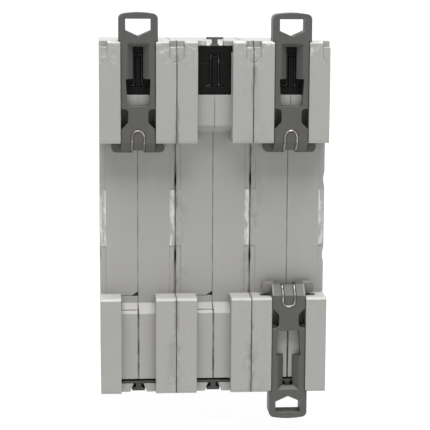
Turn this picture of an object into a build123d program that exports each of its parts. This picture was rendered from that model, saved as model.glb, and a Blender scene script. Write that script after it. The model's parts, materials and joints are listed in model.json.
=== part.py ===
from build123d import *
import os
from math import cos, hypot, radians, sin, tan

# Three-pole miniature circuit breaker for a 35 mm rail.
# X runs across the poles, +Y points at the rail behind the housing, +Z is up.
# The origin is on the face that seats on the rail, at the middle of the middle pole and of the rail.

# Housing
pole_pitch = 17.5
pole_count = 3
side_wall = 1.5
outer_wall = 1.6
top_end = 41.3
bottom_end = -40.6
end_face_drop = 1.2
end_face_edge = 1.0
shoulder_depth = 44.0
nose_depth = 57.0
nose_height = 45.0

# Rail recess, feet and channels
rail_width = 35.0
rail_gap = 1.1
foot_depth = 6.4
foot_edge = 0.5
joint_edge = 0.12
channel_width = 8.0
channel_floor = 4.2
ramp_foot = 20.2
ramp_run = 1.7
edge_rebate = 0.15
edge_pad_width = 1.3
edge_pad_height = 13.3
lens_length = 3.6
lens_depth = 0.25
lens_height = 9.0
lens_floor = 2.5
corner_notch_width = 1.75
corner_notch_height = 1.4
corner_notch_depth = 2.0
corner_pocket_height = 3.6
corner_pocket_depth = 0.3
corner_pocket_foot = 0.6
corner_pocket_rise = 1.3
tongue_start = 18.6
tongue_end = 21.3
tongue_width = 3.9
tongue_depth = 1.2
tongue_corner_height = 1.0
tongue_corner_width = 1.4
parting_gap = 0.12

# Rail clips
clip_clearance = 0.15
clip_face_drop = 0.2
clip_travel = 2.8
ring_length = 6.4
ring_width = 8.9
ring_depth = 4.3
ring_crown = 0.5
ring_corner = 1.2
ring_bar = 1.45
ring_side = 1.55
hole_straight = 2.6
hole_point = 1.3
funnel_start = 0.5
funnel_width = 5.0
funnel_length = 8.1
slot_width = 2.3
funnel_web = 1.0
funnel_floor = 0.6
window_outer_width = 5.65
window_inner_width = 4.9
window_web = 0.65
waist_reach = 10.25
waist_length = 5.7
waist_width = 4.55
waist_round = 0.9
waist_pocket = 3.0
nose_length = 3.2
nose_face = 2.6
nose_tip = 0.3
notch_width = 2.6
notch_depth = 0.5
hook_reach = 1.8
hook_width = 12.2
hook_round = 1.1
hook_low = 1.2
hook_high = 3.4
hook_length = 2.4
rib_depth = 0.4
rib_height = 0.7
rib_start = 3.0
rib_length = 10.0
clip_wire = 0.5
clip_wire_span = 2.8
clip_wire_room = 0.08
clip_wire_lift = 0.14
wire_reach = 5.2
wire_inset = 0.6

# Inserts and keys
insert_width = 7.4
insert_top = 40.1
insert_height = 11.0
insert_depth = 3.0
insert_gap = 0.1
insert_round = 1.0
insert_lip_width = 8.5
insert_lip_height = 1.3
insert_wire = 0.45
insert_wire_span = 1.8
insert_wire_foot = 1.2
insert_wire_inset = 2.0
insert_groove = 0.9
key_stem = 1.2
key_cap = 3.8
key_thickness = 0.5
key_lift = 0.3
key_root = 0.4
key_depth = 2.0
end_slot_height = 1.1
end_slot_edge = 37.5
end_notch_floor = 0.9

# Toggles, tie bar and links
toggle_inset = 8.5
toggle_swing = 64.0
toggle_hub_width = 9.0
toggle_hub_gap = 0.75
toggle_flat = 3.0
toggle_window_gap = 0.4
trunnion_radius = 2.0
running_gap = 0.05
lever_width = 7.6
lever_root = 4.6
lever_tip = 3.2
lever_round = 0.8
tie_bar_length = 44.0
tie_bar_depth = 5.0
tie_bar_height = 4.8
tie_bar_cap = 1.2
tie_bar_round = 1.0
tie_bar_gap = 4.0
crank_radius = 5.0
crank_ear = 2.4
crank_ear_radius = 1.45
link_wire = 1.2
link_reach = 4.76
link_drop = 1.0
link_side = 2.6
link_tail = 0.4
track_steps = 4

# Contacts
arm_setback = 15.5
arm_pivot_height = -3.0
arm_swing = 14.0
arm_thickness = 2.0
arm_height = 2.6
arm_boss_radius = 2.6
arm_pin_radius = 1.0
arm_tip = 14.0
arm_slot_gap = 0.2
arm_slot_wall = 0.9
pad_size = 3.0
pad_height = 1.0
contact_gap = 0.15
strip_thickness = 1.2
strip_width = 3.0

# Magnet trip
coil_depth = 12.0
coil_bottom = 8.4
coil_length = 12.8
coil_radius = 4.6
lead_width = 1.0
bobbin_radius = 2.8
bobbin_wall = 0.75
yoke_thickness = 1.2
yoke_width = 7.0
yoke_reach = 5.4
yoke_gap = 0.2
yoke_front = 4.8
core_length = 3.3
core_gap = 0.1
plunger_length = 6.1
striker_radius = 0.6
striker_reach = 0.9
trip_pivot_depth = 27.0
trip_pivot_height = 3.0
trip_plate = 1.2
trip_offset = 4.8
trip_pin_radius = 0.9
trip_hub_radius = 2.2
trip_arm = 1.2
trip_gap = 0.2
paddle_half = 1.5
paddle_thickness = 1.0
paddle_end = 1.0
finger_overlap = 1.5

# Bimetal, spring and braid
bimetal_gap = 0.9
bimetal_thickness = 0.8
bimetal_width = 5.0
bimetal_bottom = -21.0
bimetal_length = 13.0
spring_radius = 1.2
spring_wall = 0.4
spring_setback = 4.5
spring_bottom = -17.6
braid_thickness = 1.0
braid_width = 1.5
braid_setback = 2.8
braid_round = 0.9
braid_bottom = -13.0

# Arc chute
plate_count = 8
plate_pitch = 2.1
plate_thickness = 0.8
plate_bottom = -24.4
plate_depth = 12.5
plate_notch = 6.0
plate_horn = 2.0
chute_back = 4.0
card_thickness = 0.7
card_edge = 0.8

# Terminals
terminal_height = 32.1
screw_head_radius = 3.5
screw_head_length = 2.2
screw_radius = 2.5
screw_slot_width = 1.0
screw_slot_depth = 1.1
screw_cross = 1.9
screw_chamfer = 0.5
thread_pitch = 0.8
screw_turns = 6
screw_ledge = 0.8
screw_hole_gap = 0.2
screw_end_gap = 0.2
plate_front = 30.7
plate_inset = 0.6
terminal_width = 5.0
cage_width = 9.5
cage_length = 10.4
cage_wall = 1.2
cage_front_wall = 2.2
cage_space = 8.8
cage_gap = 0.3
cage_round = 0.8
entry_width = 7.2
entry_height = 6.8
entry_chamfer = 0.6
entry_seat = 0.1
shelf_depth = 18.0
partition_height = 24.6
partition_wall = 1.2

# Rivets
rivet_radius = 1.5
rivet_head_radius = 2.3
rivet_head_length = 0.7
rivet_head_drop = 0.1
rivet_boss_wall = 1.2
pin_boss_wall = 1.1
trunnion_boss_wall = 1.4
rib_front = 9.0
rib_back = 5.0
rib_inset = 1.8
rib_wall = 1.2
spring_peg_radius = 0.9
rivet_places = [(-9.0, 32.0), (-9.0, -32.0), (-51.5, 16.5), (-51.5, -16.5), (-36.0, 14.0), (-37.5, -13.5)]

# Clearances, and how far a body runs into or past its neighbour
side_gap = 0.3
seat_gap = 0.05
bite = 0.2
past = 1.0

half_pitch = pole_pitch / 2
half_channel = channel_width / 2
half_recess = (rail_width + rail_gap) / 2
half_nose = nose_height / 2
inner_side = half_pitch - side_wall
total_width = pole_pitch * pole_count
poles = [(index + 1, (index - (pole_count - 1) / 2) * pole_pitch) for index in range(pole_count)]
clip_poles_top = [1, 3]
clip_poles_bottom = [1]
toggle_rest = toggle_swing / 2
rest_angle = radians(toggle_rest)
toggle_pivot_depth = nose_depth - toggle_inset
half_window = toggle_inset * tan(rest_angle) + lever_root / 2 / cos(rest_angle) + toggle_window_gap
toggle_hub_radius = hypot(half_window - toggle_hub_gap, toggle_inset - outer_wall)
bar_reach = (toggle_inset + tie_bar_gap + tie_bar_height / 2 * sin(rest_angle)) / cos(rest_angle)
lever_length = bar_reach + tie_bar_depth - tie_bar_cap
arm_pivot_depth = toggle_pivot_depth - arm_setback
spring_depth = arm_pivot_depth - spring_setback
bimetal_depth = spring_depth - spring_radius - bimetal_gap - bimetal_thickness / 2
clip_length = top_end - rail_width / 2 + hook_reach
nose_start = clip_length - nose_length
nose_face_end = clip_length - nose_face
waist_start = clip_length - waist_reach
window_start = funnel_start + funnel_length
window_end = waist_start - window_web
clip_wire_top = clip_length - wire_reach
clip_wire_end = clip_length - wire_inset
clip_low = channel_floor + clip_clearance / 2
clip_high = foot_depth - clip_face_drop
clip_half = half_channel - clip_clearance
screw_travel = thread_pitch * screw_turns
screw_ledge_back = plate_front + cage_gap + cage_front_wall + screw_travel + cage_gap + screw_end_gap
screw_head_top = screw_ledge_back + screw_ledge + screw_head_length


def block(x_span, y_span, z_span):
    """A box between two values on each axis, in either order."""
    size = [abs(end - start) for start, end in (x_span, y_span, z_span)]
    middle = [(start + end) / 2 for start, end in (x_span, y_span, z_span)]
    return Pos(*middle) * Box(*size)


def side_plate(points, x_low, x_high):
    """A prism of a (y, z) outline between two x values."""
    return side_shape(Polygon(*points, align=None), x_low, x_high)


def side_shape(sketch, x_low, x_high):
    """A prism of a flat (y, z) sketch between two x values."""
    return extrude(Plane.YZ.offset(x_low) * sketch, amount=x_high - x_low, dir=(1, 0, 0))


def back_shape(sketch, y_low, y_high):
    """A prism of a flat (x, z) sketch between two y values."""
    return extrude(Plane.XZ.offset(-y_high) * sketch, amount=y_high - y_low, dir=(0, -1, 0))


def hull(circles):
    """The flat convex outline round some circles."""
    return make_hull([edge for circle in circles for edge in circle.edges()])


def bar_x(radius, x_low, x_high, y, z):
    """A round bar along X."""
    return Pos((x_low + x_high) / 2, y, z) * Rot(Y=90) * Cylinder(radius, abs(x_high - x_low))


def bar_y(radius, y_low, y_high, x, z):
    """A round bar along Y."""
    return Pos(x, (y_low + y_high) / 2, z) * Rot(X=90) * Cylinder(radius, abs(y_high - y_low))


def bar_z(radius, z_low, z_high, x, y):
    """A round bar along Z."""
    return Pos(x, y, (z_low + z_high) / 2) * Cylinder(radius, z_high - z_low)


def turned(point, centre, degrees_about_x):
    """A (y, z) point turned about a centre."""
    y, z = point[0] - centre[0], point[1] - centre[1]
    angle = radians(degrees_about_x)
    return (centre[0] + y * cos(angle) - z * sin(angle), centre[1] + y * sin(angle) + z * cos(angle))


def about(centre, degrees_about_x, shape):
    """A shape turned about an X axis through a (y, z) centre."""
    return Pos(0, *centre) * Rot(X=degrees_about_x) * Pos(0, -centre[0], -centre[1]) * shape


# Housing shells

def housing_outline():
    """The closed side view of a pole, feet included."""
    end = top_end - end_face_drop
    low_end = bottom_end + end_face_drop
    return [
        (foot_depth, top_end), (foot_depth, half_recess), (0, half_recess), (0, -half_recess),
        (foot_depth, -half_recess), (foot_depth, bottom_end), (end_face_edge, bottom_end),
        (end_face_edge, low_end), (-shoulder_depth, low_end), (-shoulder_depth, -half_nose),
        (-nose_depth, -half_nose), (-nose_depth, half_nose), (-shoulder_depth, half_nose),
        (-shoulder_depth, end), (end_face_edge, end), (end_face_edge, top_end),
    ]


def channel_cut(end, out):
    """What the channel removes between the feet, for one end; out is +1 at the top and -1 below."""
    beyond = foot_depth + past
    inner = out * (half_recess - past)
    return [
        (beyond, end + out), (channel_floor, end + out), (channel_floor, out * (ramp_foot + ramp_run)),
        (0, out * ramp_foot), (0, inner), (beyond, inner),
    ]


def cavity():
    """The hollow of a pole, as (y, z) points."""
    top = top_end - end_face_drop - outer_wall
    bottom = bottom_end + end_face_drop + outer_wall
    front = -shoulder_depth + outer_wall
    nose_front = -nose_depth + outer_wall
    nose_top = half_nose - outer_wall
    return [
        (-outer_wall, top), (-outer_wall, bottom), (front, bottom), (front, -nose_top),
        (nose_front, -nose_top), (nose_front, nose_top), (front, nose_top), (front, top),
    ]


def shell_half(side, clips):
    """One half shell; side is +1 towards +X and clips lists the ends that hold a rail clip."""
    x_low, x_high = sorted((0, side * half_pitch))
    inner = sorted((0, side * inner_side))
    shell = side_plate(housing_outline(), x_low, x_high)
    foot_edges = shell.edges().filter_by(Axis.X).group_by(Axis.Y)[-1]
    shell = chamfer(foot_edges, foot_edge)
    joint = shell.edges().filter_by(Axis.Z).group_by(Axis.X)[-1 if side > 0 else 0].group_by(Axis.Y)[-1]
    shell = chamfer(joint, joint_edge)
    for end, out in ((top_end, 1), (bottom_end, -1)):
        shell -= side_plate(channel_cut(end, out), -half_channel, half_channel)
    shell -= side_plate(cavity(), *inner)
    shell += inner_walls(side)
    shell -= terminal_cuts()
    shell -= toggle_window()
    shell -= insert_cuts()
    shell -= foot_details(side)
    shell -= joint_details(side)
    for out in clips:
        shell -= clip_cuts(out)
    for y, z in rivet_places:
        shell -= bar_x(rivet_radius + running_gap, x_low, x_high, y, z)
    shell -= bar_x(trunnion_radius + running_gap, *inner, *toggle_centre)
    shell -= bar_x(arm_pin_radius, *inner, *arm_centre)
    shell -= bar_x(trip_pin_radius, *inner, *trip_centre)
    return shell


def inner_walls(side):
    """Partitions, shelves, ledges and bosses that stand on a shell's side wall."""
    wall_side = side * (inner_side + bite)
    span = (0, wall_side)
    front = -shoulder_depth + bite
    walls = []
    for out, end in ((1, top_end), (-1, bottom_end)):
        end_face = out * (abs(end) - end_face_drop - outer_wall + bite)
        near = out * partition_height
        far = out * (partition_height + partition_wall)
        wall = block(span, (front, -shelf_depth), (near, far))
        wall -= block(span, (-plate_front - bite, -plate_front + strip_thickness + bite), (near, far))
        walls.append(wall)
        walls.append(block(span, (-shelf_depth - partition_wall, -shelf_depth), (near, end_face)))
        walls.append(block(span, (front, -screw_ledge_back), (far - out * bite, end_face)))
    for y, z in rivet_places:
        walls.append(bar_x(rivet_radius + running_gap + rivet_boss_wall, 0, wall_side, y, z))
    hub_side = side * (toggle_hub_width / 2 + side_gap)
    walls.append(bar_x(trunnion_radius + trunnion_boss_wall, hub_side, wall_side, -toggle_pivot_depth, 0))
    arm_side = side * (arm_thickness / 2 + side_gap)
    walls.append(bar_x(arm_pin_radius + pin_boss_wall, arm_side, wall_side, *arm_centre))
    if side < 0:
        trip_side = -(trip_offset + trip_plate / 2 + side_gap / 2)
        walls.append(bar_x(trip_pin_radius + pin_boss_wall, trip_side, wall_side, *trip_centre))
    fixed_low, fixed_high = fixed_contact_span()
    seats = (
        (yoke_low - seat_gap - rib_wall, yoke_low - seat_gap),
        (fixed_high + seat_gap, fixed_high + seat_gap + rib_wall),
        (fixed_low - seat_gap - rib_wall, fixed_low - seat_gap),
    )
    walls += [block((side * rib_inset, wall_side), (-rib_front, -rib_back), seat) for seat in seats]
    peg_height = spring_bottom - spring_peg_radius - seat_gap
    walls.append(bar_x(spring_peg_radius, 0, wall_side, -spring_depth, peg_height))
    return walls


def terminal_cuts():
    """Screw holes in the shoulders and wire entries in the end walls."""
    cuts = []
    for out, end in ((1, top_end), (-1, bottom_end)):
        z = out * terminal_height
        head_back = -screw_head_top + screw_head_length
        cuts.append(bar_y(screw_head_radius + screw_hole_gap, -shoulder_depth - past, head_back, 0, z))
        cuts.append(bar_y(screw_radius + screw_hole_gap, -shoulder_depth, -screw_ledge_back + past, 0, z))
        y_low = -plate_front + strip_thickness + entry_seat
        y_high = y_low + entry_height
        outside = out * (abs(end) - end_face_drop)
        inside = outside - out * (outer_wall + bite)
        half = entry_width / 2
        cuts.append(block((-half, half), (y_low, y_high), (inside, outside + out)))
        middle = Pos(0, (y_low + y_high) / 2, outside)
        rim = Rectangle(entry_width, entry_height)
        wide = Rectangle(entry_width + 4 * entry_chamfer, entry_height + 4 * entry_chamfer)
        deep = Pos(Z=-out * entry_chamfer)
        proud = Pos(Z=out * entry_chamfer)
        cuts.append(loft([middle * deep * rim, middle * proud * wide]))
    return cuts


def toggle_window():
    """The window in the nose face that the toggle comes through."""
    half = toggle_hub_width / 2 + toggle_window_gap
    depths = (-nose_depth - past, -nose_depth + outer_wall + past)
    return block((-half, half), depths, (-half_window, half_window))


def insert_cuts():
    """The pocket for the insert, the notches beside its lip and the end notches for the keys."""
    low = insert_top - insert_height - insert_gap
    high = insert_top + insert_gap
    half = insert_width / 2 + insert_gap
    lip = insert_lip_width / 2 + insert_gap
    cap = key_cap / 2 + insert_gap
    pocket = (channel_floor - insert_depth - insert_gap, channel_floor + past)
    notch = (end_notch_floor, foot_depth + past)
    cuts = [
        block((-half, half), pocket, (low, high)),
        block((-lip, lip), pocket, (high - insert_lip_height - 2 * insert_gap, high)),
        block((-cap, cap), notch, (insert_top, top_end + past)),
    ]
    slot_end = -end_slot_edge - end_slot_height
    slot_floor = channel_floor - key_depth - side_gap
    slot_depths = (slot_floor, channel_floor + past)
    cuts.append(block((-half_channel, half_channel), slot_depths, (-end_slot_edge, slot_end)))
    root = key_stem / 2 + key_root + insert_gap
    flare_top = slot_end + bite
    flare_end = bottom_end - insert_gap
    outline = [(-root, flare_top), (root, flare_top), (cap, flare_end), (-cap, flare_end)]
    cuts.append(back_shape(Polygon(*outline, align=None), end_notch_floor, channel_floor + past))
    return cuts


def foot_details(side):
    """Corner notch and half-hexagonal pocket at the outer top corner of the foot."""
    edge = side * half_pitch
    inside = edge - side * corner_notch_width
    high = top_end - corner_notch_height
    low = high - corner_pocket_height
    notch_depths = (foot_depth - corner_notch_depth, foot_depth + past)
    notch = block((inside, edge + side), notch_depths, (high, top_end + past))
    outline = [
        (inside, high), (edge + side, high), (edge + side, low),
        (edge - side * corner_pocket_foot, low), (inside, low + corner_pocket_rise),
    ]
    pocket = back_shape(Polygon(*outline, align=None), foot_depth - corner_pocket_depth, foot_depth + past)
    return [notch, pocket]


def joint_details(side):
    """Rebates and lens-shaped slits along the pole's joint face on the recess floor."""
    edge = side * half_pitch
    inside = edge - side * edge_pad_width
    lens_radius = (lens_length ** 2 / 4 + lens_depth ** 2) / (2 * lens_depth)
    lens_x = edge + side * (lens_radius - lens_depth)
    cuts = []
    for out in (1, -1):
        span = (out * edge_pad_height / 2, out * half_recess)
        cuts.append(block((inside, edge + side), (-edge_rebate, past), span))
        cuts.append(bar_y(lens_radius, -lens_floor, past, lens_x, out * lens_height))
    return cuts


def clip_cuts(out):
    """Room for a rail clip's hooks in the feet, its ribs in the channel walls and a pocket at its waist."""
    end = top_end if out > 0 else bottom_end
    hook = hook_width / 2 + side_gap
    deepest = abs(end) - clip_length + hook_length + clip_travel + side_gap
    hook_room = (hook_low - clip_clearance, hook_high + clip_clearance)
    rib = half_channel + rib_depth
    middle = (clip_low + clip_high) / 2
    groove = (middle - rib_height / 2 - clip_clearance, middle + rib_height / 2 + clip_clearance)
    last = out * (abs(end) - rib_start - rib_length - side_gap)
    waist = (out * (abs(end) - waist_start - waist_length), out * (abs(end) - waist_start))
    return [
        block((-half_channel, half_channel), (channel_floor - waist_pocket, channel_floor + past), waist),
        block((-hook, hook), hook_room, (out * (half_recess - past), out * deepest)),
        block((-rib, rib), groove, (last, end + out)),
    ]


def tongue(outer):
    """The tongue that one half shell lays across the parting line below the recess."""
    grow = parting_gap if outer else 0
    low = -tongue_end - grow
    high = -tongue_start + grow
    depths = (-tongue_depth - grow, foot_depth)
    solid = block((-past, tongue_width + grow), depths, (low, high))
    if outer:
        corner = [(0, high), (0, high + tongue_corner_height), (tongue_corner_width, high)]
        return solid + back_shape(Polygon(*corner, align=None), *depths)
    channel = side_plate(channel_cut(bottom_end, -1), -half_pitch, half_pitch)
    return solid - channel - block((-past, half_pitch), (0, foot_depth), (-ramp_foot, 0))


# Rail clip, insert and keys

def clip_frame(pole_x, out, shape):
    """Places a clip that was drawn with its shoulder at z = 0 and its ring towards +Z."""
    if out > 0:
        return Pos(pole_x, 0, top_end) * shape
    return Pos(pole_x, 0, bottom_end) * Rot(Y=180) * shape


def ring_outline():
    """The ring handle seen from the rail side."""
    half = ring_width / 2
    straight = ring_length - ring_crown
    edges = Polyline((-half, straight), (-half, 0), (half, 0), (half, straight))
    crown = ThreePointArc((half, straight), (0, ring_length), (-half, straight))
    face = make_face([edges, crown])
    return fillet(face.vertices().group_by(Axis.Y)[-1], ring_corner)


def ring_hole():
    """The five-sided hole of the ring."""
    half = ring_width / 2 - ring_side
    top = ring_length - ring_bar
    low = top - hole_straight
    return Polygon((-half, top), (-half, low), (0, low - hole_point), (half, low), (half, top), align=None)


def clip_nose_outline():
    """Side view of the nose: an inclined end, a hook and an outer end that follows the ramp."""
    tip = -clip_length + nose_tip
    return [
        (clip_high, -nose_start + past), (clip_high, -nose_face_end), (hook_high, tip), (hook_low, tip),
        (hook_low, -clip_length + hook_length / 2), (clip_low, -nose_start), (clip_low, -nose_start + past),
    ]


def wire_path(face):
    """Centre line of the clip's wire, with its arch at this depth: up one leg, over and down the other."""
    half = clip_wire_span / 2
    slope = (hook_high - clip_high) / (nose_face - nose_tip)
    end_y = face + slope * (clip_wire_end - nose_face_end)
    arch = -clip_wire_top - half
    leg = [(half, end_y, -clip_wire_end), (half, face, -nose_face_end), (half, face, arch)]
    other = [(-x, y, z) for x, y, z in reversed(leg)]
    bow = ThreePointArc(leg[-1], (0, face, -clip_wire_top), other[0])
    return Polyline(*leg) + bow + Polyline(*other)


def rail_clip():
    """The spring clip: ring, body with funnel, slot and window, waist, nose and hooks."""
    through = (0, foot_depth + past)
    body = block((-clip_half, clip_half), (clip_low, clip_high), (-nose_start - bite, bite))
    body += back_shape(ring_outline(), clip_high - ring_depth, clip_high)
    body += side_plate(clip_nose_outline(), -clip_half, clip_half)
    hook = RectangleRounded(hook_width, hook_length, hook_round)
    body += back_shape(Pos(0, -clip_length + hook_length / 2) * hook, hook_low, hook_high)
    body -= back_shape(ring_hole(), *through)
    body -= back_shape(Pos(0, -clip_length) * Rectangle(notch_width, 2 * notch_depth), *through)
    outer = window_outer_width / 2
    inner = window_inner_width / 2
    window = [(-outer, -window_start), (-inner, -window_end), (inner, -window_end), (outer, -window_start)]
    body -= back_shape(Polygon(*window, align=None), *through)
    slot_length = funnel_length - funnel_web
    slot_middle = Pos(0, -window_start + slot_length / 2)
    body -= back_shape(slot_middle * Rectangle(slot_width, slot_length + 2 * bite), *through)
    mouth = Pos(0, -window_start + funnel_length / 2) * Rectangle(funnel_width, funnel_length)
    neck = slot_middle * Rectangle(slot_width, slot_length)
    body -= loft([Plane.XZ.offset(-clip_high) * mouth, Plane.XZ.offset(-clip_low - funnel_floor) * neck])
    middle = (clip_low + clip_high) / 2
    for side in (1, -1):
        body -= back_shape(waist_cut(side), *through)
        rib = (side * (clip_half - bite), side * (clip_half + rib_depth))
        rib_depths = (middle - rib_height / 2, middle + rib_height / 2)
        body += block(rib, rib_depths, (-rib_start - rib_length, -rib_start))
    return body - wire_groove()


def waist_cut(side):
    """What the waist leaves out of one side: round at the window and slanted at the nose."""
    near = waist_width / 2
    far = clip_half + past
    nose_end = -waist_start - waist_length
    outline = [(near, -waist_start), (near, nose_end + far - near), (far, nose_end), (far, -waist_start)]
    face = make_face(Polyline(*[(side * x, z) for x, z in outline], close=True))
    corners = face.vertices().group_by(Axis.X)[0 if side > 0 else -1]
    return fillet(corners, waist_round)


def wire_groove():
    """The groove in the nose that the clip's wire lies in."""
    room = clip_wire / 2 + clip_wire_room
    arch = clip_wire_top + clip_wire_span / 2
    legs = Pos(0, -(arch + clip_length) / 2)
    outer = Pos(0, -arch) * Circle(clip_wire_span / 2 + room)
    outer += legs * Rectangle(clip_wire_span + 2 * room, clip_length - arch)
    core = Pos(0, -arch) * Circle(clip_wire_span / 2 - room)
    core += legs * Rectangle(clip_wire_span - 2 * room, clip_length - arch + bite)
    groove = back_shape(outer - core, 0, foot_depth + past)
    start = -clip_wire_top + past
    tip = -clip_length + nose_tip
    above = foot_depth + past
    below = [
        (clip_high - clip_wire, start), (clip_high - clip_wire, -nose_face_end), (hook_high - clip_wire, tip),
        (above, tip), (above, start),
    ]
    return groove & side_plate(below, -clip_half, clip_half)


def clip_spring():
    """The bright wire that lies in the nose's groove."""
    path = wire_path(clip_high - clip_wire / 2 + clip_wire_lift)
    section = Plane(origin=path @ 0, z_dir=path % 0) * Circle(clip_wire / 2)
    return sweep(section, path=path, transition=Transition.RIGHT)


def insert():
    """The black insert in the channel floor."""
    low = insert_top - insert_height
    depths = (channel_floor - insert_depth, channel_floor - seat_gap)
    body = block((-insert_width / 2, insert_width / 2), depths, (low, insert_top))
    corners = body.edges().filter_by(Axis.Y).group_by(Axis.Z)[0]
    body = fillet(corners, insert_round)
    lip = (insert_top - insert_lip_height, insert_top)
    body += block((-insert_lip_width / 2, insert_lip_width / 2), depths, lip)
    room = insert_wire / 2 + insert_gap
    reach = insert_wire_span / 2
    groove = (channel_floor - insert_groove, channel_floor)
    foot = low + insert_wire_inset
    head = insert_top - insert_wire_inset
    for side in (1, -1):
        body -= block((side * (reach - room), side * (reach + room)), groove, (foot - room, head + room))
        foot_end = side * (reach + insert_wire_foot + insert_gap)
        body -= block((side * (reach - room), foot_end), groove, (foot - room, foot + room))
    return body - block((-reach, reach), groove, (head - room, head + room))


def insert_spring():
    """The hairpin wire in the insert."""
    low = insert_top - insert_height + insert_wire_inset
    high = insert_top - insert_wire_inset
    half = insert_wire_span / 2
    foot = half + insert_wire_foot
    y = channel_floor - insert_groove + insert_wire / 2 + seat_gap
    side = [(foot, y, low), (half, y, low), (half, y, high)]
    path = Polyline(*side, *[(-x, y, z) for x, y, z in reversed(side)])
    section = Plane(origin=path @ 0, z_dir=path % 0) * Circle(insert_wire / 2)
    return sweep(section, path=path, transition=Transition.RIGHT)


def shell_key(out):
    """A small key that straddles the parting line in an end notch without a clip."""
    stem = key_stem / 2
    cap = key_cap / 2
    if out > 0:
        low = insert_top + insert_gap + seat_gap
        head = top_end + key_lift
        top = head + key_thickness
        half_outline = [(stem + key_root, low), (stem, low + key_root), (stem, head), (cap, head), (cap, top)]
    else:
        bar = -end_slot_edge - end_slot_height + insert_gap
        foot = bottom_end + key_lift
        arm = half_channel - clip_clearance
        half_outline = [
            (arm, bar + key_thickness), (arm, bar), (stem, bar), (stem, foot + key_thickness + key_root),
            (cap - key_root, foot + key_root), (cap - key_root, foot),
        ]
    outline = half_outline + [(-x, z) for x, z in reversed(half_outline)]
    return back_shape(Polygon(*outline, align=None), channel_floor - key_depth, channel_floor)


# Toggle, tie bar and link

toggle_centre = (-toggle_pivot_depth, 0)
crank_pin = turned((-toggle_pivot_depth + crank_radius, 0), toggle_centre, toggle_rest)
link_end = (crank_pin[0] + link_reach, crank_pin[1] - link_drop)
arm_centre = (-arm_pivot_depth, arm_pivot_height)
trip_centre = (-trip_pivot_depth, trip_pivot_height)
yoke_low = coil_bottom - yoke_gap - yoke_thickness
yoke_high = coil_bottom + coil_length + yoke_gap + yoke_thickness
striker_end = yoke_low - striker_reach
core_radius = bobbin_radius - bobbin_wall - core_gap
lead_x = (yoke_width / 2 + core_gap, yoke_width / 2 + core_gap + lead_width)
top_strip_low = yoke_high + side_gap


def toggle():
    """Hub, trunnions, crank ear and lever, drawn level and then turned to the off position."""
    half = toggle_hub_width / 2
    flat = -toggle_pivot_depth + toggle_flat
    hub = bar_x(toggle_hub_radius, -half, half, *toggle_centre)
    hub -= block((-half - past, half + past), (flat, 0), (-toggle_hub_radius, toggle_hub_radius))
    end = inner_side - running_gap
    body = hub + bar_x(trunnion_radius, -end, end, *toggle_centre)
    ear = crank_ear / 2
    tail = -toggle_pivot_depth + crank_radius
    body += bar_x(crank_ear_radius, -ear, ear, tail, 0)
    body += block((-ear, ear), (flat - past, tail), (-crank_ear_radius, crank_ear_radius))
    body -= bar_x(link_wire / 2 + running_gap, -ear - past, ear + past, tail, 0)
    tip = -toggle_pivot_depth - lever_length
    root = -toggle_pivot_depth - toggle_hub_radius + past
    outline = [(root, -lever_root / 2), (tip, -lever_tip / 2), (tip, lever_tip / 2), (root, lever_root / 2)]
    lever = side_plate(outline, -lever_width / 2, lever_width / 2)
    lever = fillet(lever.edges().filter_by(Axis.X).group_by(Axis.Y)[0], lever_round)
    return about(toggle_centre, toggle_rest, body + lever)


def tie_bar():
    """The bar that joins the lever tips, with a pocket for each."""
    tip = -toggle_pivot_depth - lever_length
    front = tip - tie_bar_cap
    half = tie_bar_length / 2
    bar = block((-half, half), (front, front + tie_bar_depth), (-tie_bar_height / 2, tie_bar_height / 2))
    bar = fillet(bar.edges().filter_by(Axis.X), tie_bar_round)
    taper = (lever_root - lever_tip) / (lever_length - toggle_hub_radius)
    open_half = (lever_tip + taper * (tie_bar_depth - tie_bar_cap)) / 2 + running_gap
    reach = lever_width / 2 + running_gap
    for number, x in poles:
        bar -= block((x - reach, x + reach), (tip - running_gap, 0), (-open_half, open_half))
    return about(toggle_centre, toggle_rest, bar)


def link():
    """A staple of round wire from the crank ear to the contact arm's tail."""
    end = -crank_ear / 2 - link_tail
    path = Polyline((end, *crank_pin), (link_side, *crank_pin), (link_side, *link_end), (end, *link_end))
    section = Plane(origin=path @ 0, z_dir=path % 0) * Circle(link_wire / 2)
    return sweep(section, path=path, transition=Transition.RIGHT)


# Contact arm and fixed contact

def fixed_contact_span():
    """The z span of the fixed strip above the closed moving pad."""
    top_of_pad = arm_pivot_height + arm_height / 2 + pad_height
    low = top_of_pad + contact_gap
    return (low, low + strip_thickness)


def link_track():
    """Where the link's end stands in the arm's own frame over the toggle's swing, arm closed."""
    track = []
    for step in range(track_steps + 1):
        share = step / track_steps
        pin = turned(crank_pin, toggle_centre, -toggle_swing * share)
        end = (pin[0] + link_reach, pin[1] - link_drop)
        track.append(turned(end, arm_centre, arm_swing * (1 - share)))
    return track


def contact_arm():
    """Tail with a lost-motion slot, pivot boss, arm and pad, drawn closed and turned open."""
    room = link_wire / 2 + arm_slot_gap
    track = link_track()
    slot = hull([Pos(*point) * Circle(room) for point in track])
    rims = [Pos(*point) * Circle(room + arm_slot_wall) for point in track]
    outline = hull(rims + [Pos(*arm_centre) * Circle(arm_boss_radius)])
    half = arm_thickness / 2
    arm = side_shape(outline, -half, half)
    low = arm_pivot_height - arm_height / 2
    tip = -arm_pivot_depth + arm_tip
    arm += block((-half, half), (-arm_pivot_depth, tip + pad_size / 2), (low, low + arm_height))
    pad = pad_size / 2
    arm += block((-pad, pad), (tip - pad, tip + pad), (low + arm_height, low + arm_height + pad_height))
    arm -= side_shape(slot, -half - past, half + past)
    arm -= bar_x(arm_pin_radius + running_gap, -half - past, half + past, *arm_centre)
    return about(arm_centre, -arm_swing, arm)


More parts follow.
